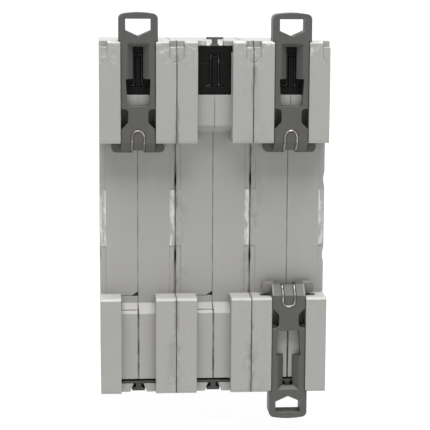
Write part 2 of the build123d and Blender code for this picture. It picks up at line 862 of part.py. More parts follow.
def fixed_contact():
    """The strip that carries the fixed pad and rises behind the yoke to the coil's lower end."""
    low, high = fixed_contact_span()
    half = strip_width / 2
    tip = -arm_pivot_depth + arm_tip
    back = -outer_wall - seat_gap
    strip = block((-half, half), (tip - pad_size / 2, back), (low, high))
    strip += block((-half, lead_x[1]), (back - strip_thickness, back), (low, coil_bottom + lead_width))
    return strip


# Magnet trip

def coil():
    """The winding with its two leads."""
    top = coil_bottom + coil_length
    body = bar_z(coil_radius, coil_bottom, top, 0, -coil_depth)
    body -= bar_z(bobbin_radius + seat_gap, coil_bottom - past, top + past, 0, -coil_depth)
    half = lead_width / 2
    body += block(lead_x, (-coil_depth - half, -coil_depth + half), (top - lead_width, top_strip_low))
    back = -outer_wall - seat_gap - strip_thickness
    return body + block(lead_x, (-coil_depth, back), (coil_bottom, coil_bottom + lead_width))


def bobbin():
    """The plastic tube that the coil is wound on."""
    low = coil_bottom - yoke_gap / 2
    high = coil_bottom + coil_length + yoke_gap / 2
    tube = bar_z(bobbin_radius, low, high, 0, -coil_depth)
    return tube - bar_z(bobbin_radius - bobbin_wall, low - past, high + past, 0, -coil_depth)


def yoke():
    """The steel frame round the coil with its riveted core."""
    half = yoke_width / 2
    back = -coil_depth + yoke_reach
    front = -coil_depth - yoke_front
    floor = yoke_low + yoke_thickness
    frame = block((-half, half), (front, back + yoke_thickness), (yoke_low, yoke_high))
    frame -= block((-half - past, half + past), (front - past, back), (floor, yoke_high - yoke_thickness))
    frame += bar_z(core_radius, yoke_low, floor + core_length, 0, -coil_depth)
    return frame - bar_z(striker_radius + running_gap, yoke_low - past, yoke_high, 0, -coil_depth)


def plunger():
    """The iron plunger with its striker pin."""
    high = coil_bottom + coil_length
    body = bar_z(core_radius, high - plunger_length, high, 0, -coil_depth)
    return body + bar_z(striker_radius, striker_end, high, 0, -coil_depth)


def plunger_spring():
    """The spring between core and plunger, as its outer sleeve."""
    low = coil_bottom - yoke_gap + core_length
    high = coil_bottom + coil_length - plunger_length
    sleeve = bar_z(core_radius, low, high, 0, -coil_depth)
    return sleeve - bar_z(core_radius - spring_wall, low - past, high + past, 0, -coil_depth)


def trip_lever():
    """The bell crank between striker, bimetal and arm."""
    x_low = -trip_offset - trip_plate / 2
    x_high = x_low + trip_plate
    y, z = trip_centre
    paddle_top = striker_end - trip_gap
    paddle_low = paddle_top - paddle_thickness
    paddle_back = -coil_depth + paddle_half
    finger_back = -bimetal_depth - bimetal_thickness / 2 - side_gap
    finger_front = finger_back - trip_arm
    finger_low = bimetal_bottom + bimetal_length - finger_overlap
    upper = [(y, z + trip_arm), (y, z - trip_arm), (paddle_back, paddle_low), (paddle_back, paddle_top)]
    lower = [(y - trip_arm, z), (y + trip_arm, z), (finger_back, finger_low), (finger_front, finger_low)]
    outline = Pos(y, z) * Circle(trip_hub_radius)
    outline += Polygon(*upper, align=None)
    outline += Polygon(*lower, align=None)
    lever = side_shape(outline, x_low, x_high)
    lever += block((x_low, paddle_end), (-coil_depth - paddle_half, paddle_back), (paddle_low, paddle_top))
    finger_end = -bimetal_width / 2 + trip_gap
    lever += block((x_low, finger_end), (finger_front, finger_back), (finger_low, finger_low + trip_arm))
    return lever - bar_x(trip_pin_radius + running_gap, x_low - past, x_high + past, *trip_centre)


# Bimetal, springs and braid

def bimetal():
    """The flat strip that bends as it warms."""
    half = bimetal_thickness / 2
    width = bimetal_width / 2
    depths = (-bimetal_depth - half, -bimetal_depth + half)
    return block((-width, width), depths, (bimetal_bottom, bimetal_bottom + bimetal_length))


def contact_spring():
    """The spring that pulls the contact arm open, as its outer sleeve."""
    underside = (-spring_depth + spring_radius, arm_pivot_height - arm_height / 2)
    high = turned(underside, arm_centre, -arm_swing)[1] - side_gap / 2
    x = -spring_radius + spring_wall
    sleeve = bar_z(spring_radius, spring_bottom, high, x, -spring_depth)
    return sleeve - bar_z(spring_radius - spring_wall, spring_bottom - past, high + past, x, -spring_depth)


def braid():
    """The flexible copper lead from the arm's side to the bimetal."""
    x_low = arm_thickness / 2 + seat_gap
    span = (x_low, x_low + braid_width)
    start = -arm_pivot_depth + braid_setback
    end = -bimetal_depth - bimetal_thickness / 2
    floor = braid_bottom - braid_thickness
    strip = block(span, (start, start + braid_thickness), (floor, arm_pivot_height - arm_pin_radius))
    strip += block(span, (start, end), (floor, braid_bottom))
    corner = strip.edges().filter_by(Axis.X).group_by(Axis.Z)[0].sort_by(Axis.Y)[0]
    return fillet(corner, braid_round)


# Arc chute

def arc_plates():
    """Steel plates with a V notch, stacked along Z."""
    half = inner_side - card_thickness - 2 * seat_gap
    horn = half - plate_horn
    back = -chute_back
    front = back - plate_depth
    notch = (0, front + plate_notch)
    outline = [
        (-half, back), (-half, front), (-horn, front), notch, (horn, front), (half, front), (half, back),
    ]
    plate = extrude(Polygon(*outline, align=None), amount=plate_thickness, dir=(0, 0, 1))
    return [Pos(0, 0, plate_bottom + index * plate_pitch) * plate for index in range(plate_count)]


def arc_cards():
    """The two insulating cards that hold the plates."""
    low = plate_bottom - card_edge
    high = plate_bottom + (plate_count - 1) * plate_pitch + plate_thickness + card_edge
    depths = (-chute_back - plate_depth - card_edge, -chute_back + card_edge)
    outer = inner_side - seat_gap
    card = block((outer - card_thickness, outer), depths, (low, high))
    return [card, Pos(card_thickness - 2 * outer, 0, 0) * card]


# Terminals

def terminal_plate(out):
    """The strip in the cage, bent inwards to the coil or the bimetal."""
    half = terminal_width / 2
    front = -plate_front
    back = front + strip_thickness
    far = out * (terminal_height + cage_length / 2 - plate_inset)
    if out > 0:
        near = top_strip_low
        end = -coil_depth + lead_width
        foot = block((-half, lead_x[1]), (front, end), (near, near + strip_thickness))
    else:
        near = bimetal_bottom
        end = -bimetal_depth + bimetal_thickness / 2
        foot = block((-half, half), (front, end), (near - strip_thickness, near))
    return foot + block((-half, half), (front, back), (near, far))


def terminal_screw(out):
    """A captive screw whose end stands just above the terminal plate."""
    z = out * terminal_height
    head_back = -screw_head_top + screw_head_length
    screw = bar_y(screw_head_radius, -screw_head_top, head_back, 0, z)
    screw += bar_y(screw_radius, -screw_head_top, -plate_front - screw_end_gap, 0, z)
    screw = chamfer(screw.edges().filter_by(GeomType.CIRCLE).group_by(Axis.Y)[-1], screw_chamfer)
    slot = screw_slot_width / 2
    reach = screw_head_radius + past
    depths = (-screw_head_top - past, -screw_head_top + screw_slot_depth)
    screw -= block((-slot, slot), depths, (z - reach, z + reach))
    return screw - block((-screw_cross, screw_cross), depths, (z - slot, z + slot))


def terminal_cage(out):
    """The rising cage: a folded box with a threaded front wall."""
    z = out * terminal_height
    back_of_front = -plate_front - cage_gap
    front = back_of_front - cage_front_wall
    inside = back_of_front + cage_space
    half = cage_width / 2
    length = (z - cage_length / 2, z + cage_length / 2)
    cage = block((-half, half), (front, inside + cage_wall), length)
    cage = fillet(cage.edges().filter_by(Axis.Z), cage_round)
    room = (length[0] - past, length[1] + past)
    cage -= block((-half + cage_wall, half - cage_wall), (back_of_front, inside), room)
    return cage - bar_y(screw_radius + running_gap, front - past, back_of_front + past, 0, z)


# Pins and rivets

def pole_pins():
    """The arm pivot pin and the trip lever pin of a pole."""
    arm_pin = bar_x(arm_pin_radius, -inner_side, inner_side, *arm_centre)
    trip_end = -trip_offset + trip_plate / 2 + side_gap
    return [arm_pin, bar_x(trip_pin_radius, -inner_side, trip_end, *trip_centre)]


def housing_rivets():
    """Rivets through all poles, with heads sunk in the outer sides."""
    half = total_width / 2
    rivets = []
    face = half - rivet_head_drop
    for y, z in rivet_places:
        rivet = bar_x(rivet_radius, -face, face, y, z)
        for side in (1, -1):
            rivet += bar_x(rivet_head_radius, side * (half - rivet_head_length), side * face, y, z)
        rivets.append(rivet)
    return rivets


def rivet_sinks():
    """Counterbores for the rivet heads in the two outermost sides."""
    half = total_width / 2
    sinks = []
    for y, z in rivet_places:
        for side in (1, -1):
            sink_floor = side * (half - rivet_head_length)
            sinks.append(bar_x(rivet_head_radius + rivet_head_drop, sink_floor, side * (half + past), y, z))
    return sinks


# The whole breaker

def one_solid(shape):
    """The single solid of a shape, or a compound where it has several."""
    solids = shape.solids()
    return solids[0] if len(solids) == 1 else Compound(children=list(solids))


def group(shapes):
    """Separate like solids in one node."""
    return Compound(children=[solid for shape in shapes for solid in shape.solids()])


nodes = {}
sinks = rivet_sinks()
for number, x in poles:
    ends = [out for out, clipped in ((1, clip_poles_top), (-1, clip_poles_bottom)) if number in clipped]
    place = Pos(x, 0, 0)
    left = shell_half(-1, ends)
    right = shell_half(1, ends)
    if -1 not in ends:
        right -= tongue(True)
        left += tongue(False)
    left = place * left
    right = place * right
    if number == 1:
        left -= sinks
    if number == pole_count:
        right -= sinks
    nodes[f"shell_left_{number}"] = left
    nodes[f"shell_right_{number}"] = right
    nodes[f"toggle_{number}"] = place * toggle()
    nodes[f"link_{number}"] = place * link()
    nodes[f"contact_arm_{number}"] = place * contact_arm()
    nodes[f"contact_spring_{number}"] = place * contact_spring()
    nodes[f"braid_{number}"] = place * braid()
    nodes[f"trip_lever_{number}"] = place * trip_lever()
    nodes[f"plunger_{number}"] = place * plunger()
    for name, out in (("top", 1), ("bottom", -1)):
        nodes[f"terminal_screw_{name}_{number}"] = place * terminal_screw(out)
        nodes[f"terminal_cage_{name}_{number}"] = place * terminal_cage(out)
        if out in ends:
            nodes[f"rail_clip_{name}_{number}"] = clip_frame(x, out, rail_clip())
            nodes[f"clip_spring_{name}_{number}"] = clip_frame(x, out, clip_spring())

places = [Pos(x, 0, 0) for number, x in poles]
nodes["toggle_tie_bar"] = tie_bar()
nodes["coils"] = group([place * coil() for place in places])
nodes["coil_bobbins"] = group([place * bobbin() for place in places])
nodes["magnet_yokes"] = group([place * yoke() for place in places])
nodes["plunger_springs"] = group([place * plunger_spring() for place in places])
nodes["bimetals"] = group([place * bimetal() for place in places])
nodes["fixed_contacts"] = group([place * fixed_contact() for place in places])
nodes["terminal_plates"] = group([place * terminal_plate(out) for place in places for out in (1, -1)])
nodes["arc_plates"] = group([place * plate for place in places for plate in arc_plates()])
nodes["arc_cards"] = group([place * card for place in places for card in arc_cards()])
nodes["pivot_pins"] = group([place * pin for place in places for pin in pole_pins()])
nodes["housing_rivets"] = group(housing_rivets())
nodes["clip_inserts"] = group([place * insert() for place in places])
nodes["insert_springs"] = group([place * insert_spring() for place in places])
key_places = [(x, 1) for number, x in poles if number not in clip_poles_top]
key_places += [(x, -1) for number, x in poles if number not in clip_poles_bottom]
nodes["shell_keys"] = group([Pos(x, 0, 0) * shell_key(out) for x, out in key_places])

os.makedirs("parts", exist_ok=True)
for name, shape in nodes.items():
    export_step(one_solid(shape), f"parts/{name}.step")
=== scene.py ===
"""Dresses the three-pole breaker: finishes, wound, threaded and ribbed pieces, marks and the stage."""
import json
from math import cos, pi, radians, sin

import bmesh
import bpy
from mathutils import Matrix, Vector


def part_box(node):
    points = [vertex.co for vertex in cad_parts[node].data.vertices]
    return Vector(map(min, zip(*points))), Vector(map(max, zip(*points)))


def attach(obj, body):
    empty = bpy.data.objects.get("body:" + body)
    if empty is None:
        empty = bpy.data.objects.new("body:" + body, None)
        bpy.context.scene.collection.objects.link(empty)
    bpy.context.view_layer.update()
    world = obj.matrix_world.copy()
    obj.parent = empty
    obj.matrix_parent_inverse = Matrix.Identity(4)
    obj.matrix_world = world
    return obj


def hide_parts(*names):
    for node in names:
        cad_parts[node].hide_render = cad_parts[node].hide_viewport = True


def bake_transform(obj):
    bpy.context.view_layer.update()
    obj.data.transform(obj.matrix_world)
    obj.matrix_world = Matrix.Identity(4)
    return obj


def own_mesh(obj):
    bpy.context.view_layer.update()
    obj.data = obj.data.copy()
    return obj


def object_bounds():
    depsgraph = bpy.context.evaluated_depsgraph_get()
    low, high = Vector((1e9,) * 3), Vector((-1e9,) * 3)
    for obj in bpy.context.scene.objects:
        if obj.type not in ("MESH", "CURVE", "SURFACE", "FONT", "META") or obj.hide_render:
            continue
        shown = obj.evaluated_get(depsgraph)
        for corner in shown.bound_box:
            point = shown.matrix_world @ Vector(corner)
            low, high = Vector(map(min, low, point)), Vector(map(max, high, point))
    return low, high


bl_info = {
    "name": "Breaker Dress",
    "version": (1, 0, 0),
    "blender": (4, 5, 0),
    "location": "3D View > Sidebar > Breaker",
    "description": "Finishes, wound and threaded pieces and a stage for a three-pole circuit breaker",
    "category": "Object",
}

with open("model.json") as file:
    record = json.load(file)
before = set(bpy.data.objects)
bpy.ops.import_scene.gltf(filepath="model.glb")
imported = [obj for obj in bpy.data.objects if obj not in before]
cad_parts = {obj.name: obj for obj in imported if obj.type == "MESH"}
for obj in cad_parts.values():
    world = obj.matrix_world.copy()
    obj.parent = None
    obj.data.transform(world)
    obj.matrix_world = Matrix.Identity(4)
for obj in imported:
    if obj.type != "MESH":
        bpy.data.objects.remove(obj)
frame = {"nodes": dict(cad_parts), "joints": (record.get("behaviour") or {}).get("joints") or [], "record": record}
cad_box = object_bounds()
nodes = frame["nodes"]
slot_of = {row["node"]: row["material_slot"] for row in frame["record"]["subparts"]}
poles = (1, 2, 3)
ends = ("top", "bottom")
mm = 0.001
half_pitch = 8.75 * mm
unturned = Matrix().to_euler()


# Sizes and colours that a user would change

def length(name, text, value):
    """A length property in metres."""
    return bpy.props.FloatProperty(name=name, description=text, default=value, unit="LENGTH", precision=5)


def count(name, text, value):
    """A whole number property."""
    return bpy.props.IntProperty(name=name, description=text, default=value, min=1)


def share(name, text, value):
    """A property from none to full."""
    return bpy.props.FloatProperty(
        name=name, description=text, default=value, min=0, max=1, subtype="FACTOR")


def number(name, text, value):
    """A plain number property."""
    return bpy.props.FloatProperty(name=name, description=text, default=value)


def colour(name, text, value):
    """A colour property, as linear light."""
    return place(name, text, value, "COLOR")


def place(name, text, value, kind="TRANSLATION"):
    """A place, or another kind of three numbers."""
    return bpy.props.FloatVectorProperty(name=name, description=text, default=value, size=3, subtype=kind)


class BreakerPlastics(bpy.types.PropertyGroup):
    """Moulded finishes."""

    housing: colour("Housing", "Light grey of the half shells", (0.345, 0.341, 0.327))
    clip: colour("Clip", "Dark grey of the rail clips and keys", (0.075, 0.074, 0.070))
    # Painted shade: the keys at the lower end are the clips' grey drawn darker, for the shade they stand in.
    key: colour("Lower keys", "Darker grey of the keys at the lower end", (0.036, 0.036, 0.034))
    insert: colour("Insert", "Black of the channel inserts", (0.0030, 0.0030, 0.0032))
    toggle: colour("Toggle", "Black of the toggles and their bar", (0.012, 0.012, 0.013))
    bobbin: colour("Bobbin", "Natural tone of bobbins and trip levers", (0.52, 0.47, 0.36))
    card: colour("Card", "Brown of the arc chute's fibre cards", (0.30, 0.16, 0.08))
    mark: colour("Mark", "White ink of the marks on the toggles", (0.80, 0.80, 0.78))
    scuff: colour("Scuffs", "Pale tone of worn pads and feet", (0.72, 0.72, 0.70))
    scratch: colour("Scratches", "Pale tone of scratches", (0.62, 0.62, 0.60))
    # Dirt colour, which also paints shade into the housing's corners.
    dirt_and_shade: colour("Dirt", "Dirt in joints and corners", (0.042, 0.038, 0.033))
    # Painted light: the lower clip's wings are drawn paler where light from above falls on them.
    painted_wing_light: colour("Wing dust", "Dust on the lower clip's wings", (0.24, 0.235, 0.225))
    # Painted shade for the clips' deep corners.
    crevice_shade: colour("Crevices", "Tone of the clips' deep corners", (0.012, 0.0115, 0.011))
    dust: colour("Dust", "Dust and scratches on black plastic", (0.30, 0.29, 0.27))
    fleck: colour("Flecks", "Dark flecks of the fibre cards", (0.12, 0.06, 0.03))
    faded: colour("Faded ink", "Grey of worn ink", (0.35, 0.35, 0.34))
    edge_radius: length("Edge radius", "How far the light rounds a moulded edge", 0.00028)
    grain_size: length("Grain size", "Size of the moulding's fine grain", 0.00022)
    # Grime also sets how much painted shade lies in the housing's corners.
    grime_and_corner_shade: share("Grime", "Dirt along joints and in corners", 0.6)
    line_width: length("Joint line", "Half width of the dark line between two poles", 0.00011)
    slit_height: length("Slit height", "Height of the slits in the joint, where the line swells", 0.009)
    pad_width: length("Pad width", "Width of the worn pads beside the pole joints", 0.0013)
    pad_reach: length("Pad reach", "Half height of the worn pads", 0.0066)
    pad_inset: length("Pad inset", "Bare strip between pad and joint", 0.00025)
    worn_height: length("Worn height", "Height from which the upper feet are scuffed", 0.0335)
    stain: share("Stains", "Grey patches beside the pole joints", 0.17)
    # Painted light: sloping faces beside the rail that face up are drawn paler, for the light from above.
    painted_slope_light: share("Rubbed slopes", "How much paler the sloping faces beside the rail are", 0.13)
    wing_reach: length("Wing start", "Distance from a clip's middle to its wings", 0.0033)


class BreakerMetals(bpy.types.PropertyGroup):
    """Metal finishes."""

    steel: colour("Steel", "Zinc plated steel", (0.52, 0.52, 0.51))
    wire: colour("Wire", "Bright drawn wire", (0.72, 0.70, 0.66))
    dull: colour("Dull wire", "Greasy wire of the inserts", (0.060, 0.057, 0.048))
    copper: colour("Copper", "Bare copper", (0.78, 0.36, 0.20))
    lacquer: colour("Lacquer", "Lacquered copper of the windings", (0.55, 0.17, 0.06))
    oxide: colour("Oxide", "Dull spots and recesses of plated steel", (0.10, 0.09, 0.08))
    patch: colour("Patches", "Dull patches of drawn wire", (0.30, 0.27, 0.23))
    film: colour("Film", "Grey film on the clips' wire", (0.20, 0.185, 0.155))
    tarnish: colour("Tarnish", "Brown tarnish of copper", (0.26, 0.11, 0.05))
    drawn: share("Drawn lines", "Strength of the lines left by drawing", 0.4)


class BreakerWindings(bpy.types.PropertyGroup):
    """Coils, springs and braids."""

    coil_turns: count("Coil turns", "Turns of each magnet coil", 7)
    coil_sides: count("Coil wire sides", "Facets round the winding's wire", 14)
    coil_gap: length("Coil gap", "Gap between a winding's turns and its bobbin", 0.00004)
    lead_radius: length("Lead bend", "Bend of the leads", 0.0006)
    contact_turns: count("Contact spring turns", "Turns of each contact spring", 9)
    plunger_turns: count("Plunger spring turns", "Turns of each plunger spring", 5)
    spring_wire: length("Spring wire", "Radius of the springs' wire", 0.0002)
    spring_sides: count("Spring wire sides", "Facets round the springs' wire", 10)
    strand_count: count("Strands", "Strands of each braid", 6)
    strand_radius: length("Strand radius", "Radius of one strand", 0.00022)
    strand_sides: count("Strand sides", "Facets round a strand", 8)
    strand_twists: number("Strand twists", "Twists over a braid's length", 3.5)
    steps: count("Steps", "Points in each turn", 28)


class BreakerScrews(bpy.types.PropertyGroup):
    """Terminal screws and serrated strips."""

    thread_pitch: length("Thread pitch", "Rise of a turn of thread", 0.0008)
    thread_height: length("Thread height", "Height of the thread's ridge", 0.00034)
    slot_width: length("Slot width", "Width of the driver's slot", 0.001)
    slot_depth: length("Slot depth", "Depth of the driver's slot", 0.0011)
    cross_reach: length("Cross reach", "Half length of the cross in the slot", 0.0019)
    serration_count: count("Serrations", "Teeth across each terminal strip", 7)
    serration_height: length("Serration height", "Height of a tooth", 0.00018)
    serration_width: length("Serration width", "Length of a tooth across its strip", 0.0044)
    strip_thickness: length("Strip thickness", "Distance from a strip's front to its teeth", 0.0012)
    head_length: length("Head length", "Length of the screw's head", 0.0022)
    head_ratio: number("Head ratio", "How many times wider the head is than the thread", 1.4)
    sides: count("Sides", "Facets round a screw", 40)
    edge: length("Edge", "Chamfer of the head's edges", 0.0004)


class BreakerRivets(bpy.types.PropertyGroup):
    """Housing rivets."""

    crown: length("Crown", "Drop of the rolled head's rim", 0.0003)
    dimple: length("Dimple", "Depth of the hollow in the head", 0.00026)
    rim: length("Rim", "Straight part of the head's rim", 0.0001)
    shank: share("Shank", "Width of the shank as a share of the head's", 0.65)
    head_length: length("Head length", "Length of the rolled head", 0.0006)
    sides: count("Sides", "Facets round a rivet", 40)


class BreakerKeys(bpy.types.PropertyGroup):
    """Keys at the lower end."""

    floor_top: length("Floor top", "Half width of a notch's floor at its top", 0.00112)
    floor_foot: length("Floor foot", "Half width of a notch's floor at its foot", 0.00195)
    floor_drop: length("Floor drop", "How far the floor starts below the key's top", 0.00055)
    floor_gap: length("Floor gap", "Gap between a key and the floor behind it", 0.00005)
    floor_depth: length("Floor depth", "How deep the floor reaches behind the key", 0.0012)


class BreakerGrip(bpy.types.PropertyGroup):
    """Ribs and marks on the toggles."""

    rib_rows: count("Rib rows", "Ribs on each face of the bar", 4)
    rib_pitch: length("Rib pitch", "Distance between ribs", 0.00075)
    rib_radius: length("Rib radius", "Radius of a rib", 0.00018)
    rib_flat: share("Rib flat", "Height of a rib as a share of its radius", 0.6)
    rib_inset: length("Rib inset", "How far the ribs stop short of the bar's ends", 0.0018)
    lever_clear: length("Lever room", "Half height of the lever, where no mark goes", 0.004)
    ring_radius: length("Ring radius", "Outer radius of the off mark", 0.0015)
    bar_half: length("Bar half length", "Half height of the on mark", 0.0015)
    stroke: length("Stroke", "Width of the marks' lines", 0.00042)
    mark_turn: bpy.props.FloatProperty(
        name="Mark turn", description="Angle from lever to mark on the hub", default=radians(33),
        unit="ROTATION")
    mark_rise: length("Mark rise", "How far the ink stands proud of the hub", 0.000025)
    mark_root: length("Mark root", "How deep the ink reaches into the hub", 0.00012)


class BreakerStage(bpy.types.PropertyGroup):
    """Camera, lights, floor and backdrop."""

    camera_place: place("Camera place", "Where the camera stands", (0.0274342, 0.3579719, 0.056309))
    camera_turn: place(
        "Camera turn", "How the camera is turned", (1.4167753, -0.0055866, 3.0644264), "EULER")
    lens: number("Lens", "Focal length in millimetres on a 36 mm sensor", 130.012)
    floor: colour("Floor", "Pale floor and backdrop", (0.12, 0.12, 0.12))
    floor_glow: number("Floor glow", "Light that floor and backdrop give off, as a lit table does", 0.93)
    floor_reach: length("Floor reach", "Half width of the floor", 1.4)
    floor_drop: length("Floor drop", "Room under the part for the lower clip's travel", 0.003)
    backdrop: length("Backdrop", "How far behind the object the floor turns up", 0.7)
    sky: number("Sky", "Strength of the even light all round", 0.15)
    top_power: number("Top light", "Power of the soft light above, in watts", 22.0)
    top_size: length("Top light size", "Side of the light above", 0.9)
    top_place: place("Top light place", "Where the light above hangs", (0.0, 0.22, 0.95))
    key_power: number("Key light", "Power of the soft light at the camera's side, in watts", 0.6)
    key_size: length("Key light size", "Side of the light at the camera's side", 0.8)
    key_place: place("Key light place", "Where the light at the camera's side stands", (-0.55, 0.85, 0.55))


GROUPS = (
    ("breaker_plastics", BreakerPlastics), ("breaker_metals", BreakerMetals),
    ("breaker_windings", BreakerWindings), ("breaker_screws", BreakerScrews),
    ("breaker_rivets", BreakerRivets), ("breaker_keys", BreakerKeys),
    ("breaker_grip", BreakerGrip), ("breaker_stage", BreakerStage),
)


# Node trees written as expressions

class Value:
    """A number in a node tree, which Python's operators turn into Math nodes."""

    def __init__(self, graph, socket):
        self.graph = graph
        self.socket = socket

    def __add__(self, other):
        return self.graph.maths("ADD", self, other)

    def __sub__(self, other):
        return self.graph.maths("SUBTRACT", self, other)

    def __rsub__(self, other):
        return self.graph.maths("SUBTRACT", other, self)

    def __mul__(self, other):
        return self.graph.maths("MULTIPLY", self, other)

    def __truediv__(self, other):
        return self.graph.maths("DIVIDE", self, other)

    def __neg__(self):
        return self.graph.maths("MULTIPLY", self, -1.0)

    __radd__ = __add__
    __rmul__ = __mul__


class Graph:
    """A node tree under construction."""

    def __init__(self, tree):
        self.tree = tree

    def add(self, kind, settings=None, inputs=None, out=0):
        """One node: its settings first, then the values and links of its sockets."""
        node = self.tree.nodes.new(kind)
        for name, value in (settings or {}).items():
            setattr(node, name, value)
        for key, value in (inputs or {}).items():
            if isinstance(value, Value):
                self.tree.links.new(value.socket, node.inputs[key])
            else:
                node.inputs[key].default_value = value
        return Value(self, node.outputs[out])

    def maths(self, operation, *values):
        """A Math node."""
        return self.add("ShaderNodeMath", {"operation": operation}, dict(enumerate(values)))


class Paint(Graph):
    """The nodes of one material."""

    def __init__(self, name):
        self.material = bpy.data.materials.get(name) or bpy.data.materials.new(name)
        self.material.use_nodes = True
        super().__init__(self.material.node_tree)
        self.tree.nodes.clear()
        self.spot = self.add("ShaderNodeTexCoord", out="Object")

    def noise(self, size, detail=2.0, stretch=(1, 1, 1), turn=(0, 0, 0), rough=0.5):
        """Cloudy noise with features of a size in metres, stretched where a share is under one."""
        inputs = {"Vector": self.spot, "Rotation": turn, "Scale": stretch}
        spot = self.add("ShaderNodeMapping", None, inputs)
        inputs = {"Vector": spot, "Scale": 1 / size, "Detail": detail, "Roughness": rough}
        return self.add("ShaderNodeTexNoise", None, inputs)

    def cells(self, size):
        """Cell noise with cells of a size in metres."""
        return self.add("ShaderNodeTexVoronoi", None, {"Vector": self.spot, "Scale": 1 / size}, "Distance")

    def step(self, value, low, high, bottom=0.0, top=1.0):
        """A smooth step from one number to another."""
        inputs = {"Value": value, "From Min": low, "From Max": high, "To Min": bottom, "To Max": top}
        return self.add("ShaderNodeMapRange", {"interpolation_type": "SMOOTHSTEP"}, inputs)

    def mix(self, amount, first, second):
        """A colour between two."""
        first = first if isinstance(first, Value) else (*first, 1)
        second = second if isinstance(second, Value) else (*second, 1)
        return self.add("ShaderNodeMix", {"data_type": "RGBA"}, {0: amount, 6: first, 7: second}, 2)

    def most(self, first, second):
        """The larger of two numbers."""
        return self.maths("MAXIMUM", first, second)

    def unsigned(self, value):
        """A number without its sign."""
        return self.maths("ABSOLUTE", value)

    def shade(self, tone, amount):
        """A colour made lighter or darker."""
        return self.add("ShaderNodeVectorMath", {"operation": "SCALE"}, {0: tone, "Scale": amount})

    def part(self, axis):
        """One coordinate of the spot."""
        return self.add("ShaderNodeSeparateXYZ", None, {0: self.spot}, axis)

    def facing(self, axis):
        """One coordinate of the way a face looks."""
        normal = self.add("ShaderNodeNewGeometry", out="Normal")
        return self.add("ShaderNodeSeparateXYZ", None, {0: normal}, axis)

    def rounded(self, radius):
        """The normal with its edges rounded, and how much it was turned there."""
        normal = self.add("ShaderNodeBevel", {"samples": 6}, {"Radius": radius})
        flat = self.add("ShaderNodeNewGeometry", out="Normal")
        same = self.add("ShaderNodeVectorMath", {"operation": "DOT_PRODUCT"}, {0: normal, 1: flat}, "Value")
        return normal, self.step(1 - same, 0.02, 0.3)

    def hollow(self, reach):
        """How far a spot lies in a corner or slit."""
        inputs = {"Distance": reach}
        return 1 - self.add("ShaderNodeAmbientOcclusion", {"samples": 6}, inputs, "AO")

    def pads(self, across, up, look):
        """One where a worn edge pad lies: beside a pole's edge, on the face that the rail rubs."""
        beside = self.maths("FLOORED_MODULO", across - half_pitch, half_pitch * 2)
        inner = self.maths("GREATER_THAN", beside, look.pad_inset)
        inner = inner * self.maths("LESS_THAN", beside, look.pad_width)
        outer = self.maths("GREATER_THAN", across, len(poles) * half_pitch - look.pad_width)
        flat = self.maths("LESS_THAN", self.unsigned(self.part(1)), look.pad_inset)
        level = self.maths("LESS_THAN", up, look.pad_reach)
        return self.most(inner, outer) * flat * level

    def bump(self, height, depth, normal=None):
        """A normal from a height in shares of a depth in metres."""
        inputs = {"Height": height, "Distance": depth}
        if normal:
            inputs["Normal"] = normal
        return self.add("ShaderNodeBump", None, inputs)

    def finish(self, tone, rough, height, depth, normal=None, **more):
        """The surface shader with its relief, and the output."""
        inputs = {"Base Color": tone, "Roughness": rough, "Normal": self.bump(height, depth, normal)}
        inputs |= {name.replace("_", " "): value for name, value in more.items()}
        surface = self.add("ShaderNodeBsdfPrincipled", None, inputs)
        output = self.tree.nodes.new("ShaderNodeOutputMaterial")
        self.tree.links.new(surface.socket, output.inputs["Surface"])
        return self.material


# Finishes

# Where a finish changes, from one place to another along an axis, in metres
upper_channel, lower_channel = (0.017, 0.021), (0.019, 0.0225)
slope_end, slope_floor = (0.026, 0.030), (-0.003, -0.001)
foot_end, foot_face = 0.041, (0.003, 0.0045)
wing_start, wing_end = (-0.018, -0.017), (-0.010, 0.0)
# Height at which a clip finish turns to its colour below; for the keys that colour is painted shade.
shade_border = (-0.001, 0.001)


def housing_plastic(look):
    """Light grey moulding with clouds and scratches; edges painted lighter, as rubbed wear and painted highlight;
    slopes that face up painted paler, as painted light; dirt, with painted shade in corners; and wear.
    """
    paint = Paint("housing_plastic")
    normal, edge = paint.rounded(look.edge_radius)
    cloud = paint.noise(0.018, 3)
    grain = paint.noise(look.grain_size, 2)
    rub = paint.step(paint.noise(0.0045, 5, (1, 1, 0.25), rough=0.65), 0.56, 0.72)
    scratch = paint.step(paint.noise(0.0011, 4, (1, 1, 0.035), (0, 0.12, 0), 0.7), 0.62, 0.70)
    across, deep, upright = (paint.part(axis) for axis in range(3))
    up = paint.unsigned(upright)
    # Painted light: faces that slope up, beside the rail, are made paler.
    lit_slope = paint.step(paint.unsigned(paint.facing(2)), 0.35, 0.7)
    lit_slope = lit_slope * (1 - paint.step(up, *slope_end)) * paint.step(deep, *slope_floor)
    # Edges are painted lighter, partly as rubbed wear and partly as a painted highlight.
    tone = paint.shade(look.housing, 0.94 + 0.09 * cloud + 0.20 * edge + 0.05 * rub + look.painted_slope_light * lit_slope)
    tone = paint.mix(housing_wear(paint, across, deep, upright, look), tone, look.scuff)
    tone = paint.mix(0.35 * scratch * rub, tone, look.scratch)
    tone = paint.mix(housing_dirt_and_shade(paint, across, upright, look), tone, look.dirt_and_shade)
    rough = 0.44 + 0.10 * cloud + 0.10 * rub - 0.06 * edge
    height = grain * 0.5 + cloud * 0.2 - scratch * 0.4
    return paint.finish(tone, rough, height, 0.00005, normal)


def housing_wear(paint, across, deep, upright, look):
    """How far the edge pads and the upper feet are rubbed pale."""
    pad = paint.pads(across, paint.unsigned(upright), look)
    scratched = paint.noise(0.0011, 5, (1, 1, 0.22), rough=0.7)
    handled = paint.step(upright, look.worn_height, foot_end) * paint.step(deep, *foot_face)
    worn = paint.step(paint.noise(0.0016, 5, rough=0.7), 0.52, 0.66) * handled
    return paint.most(pad * paint.step(scratched, 0.42, 0.60) * 0.75, worn * 0.5)


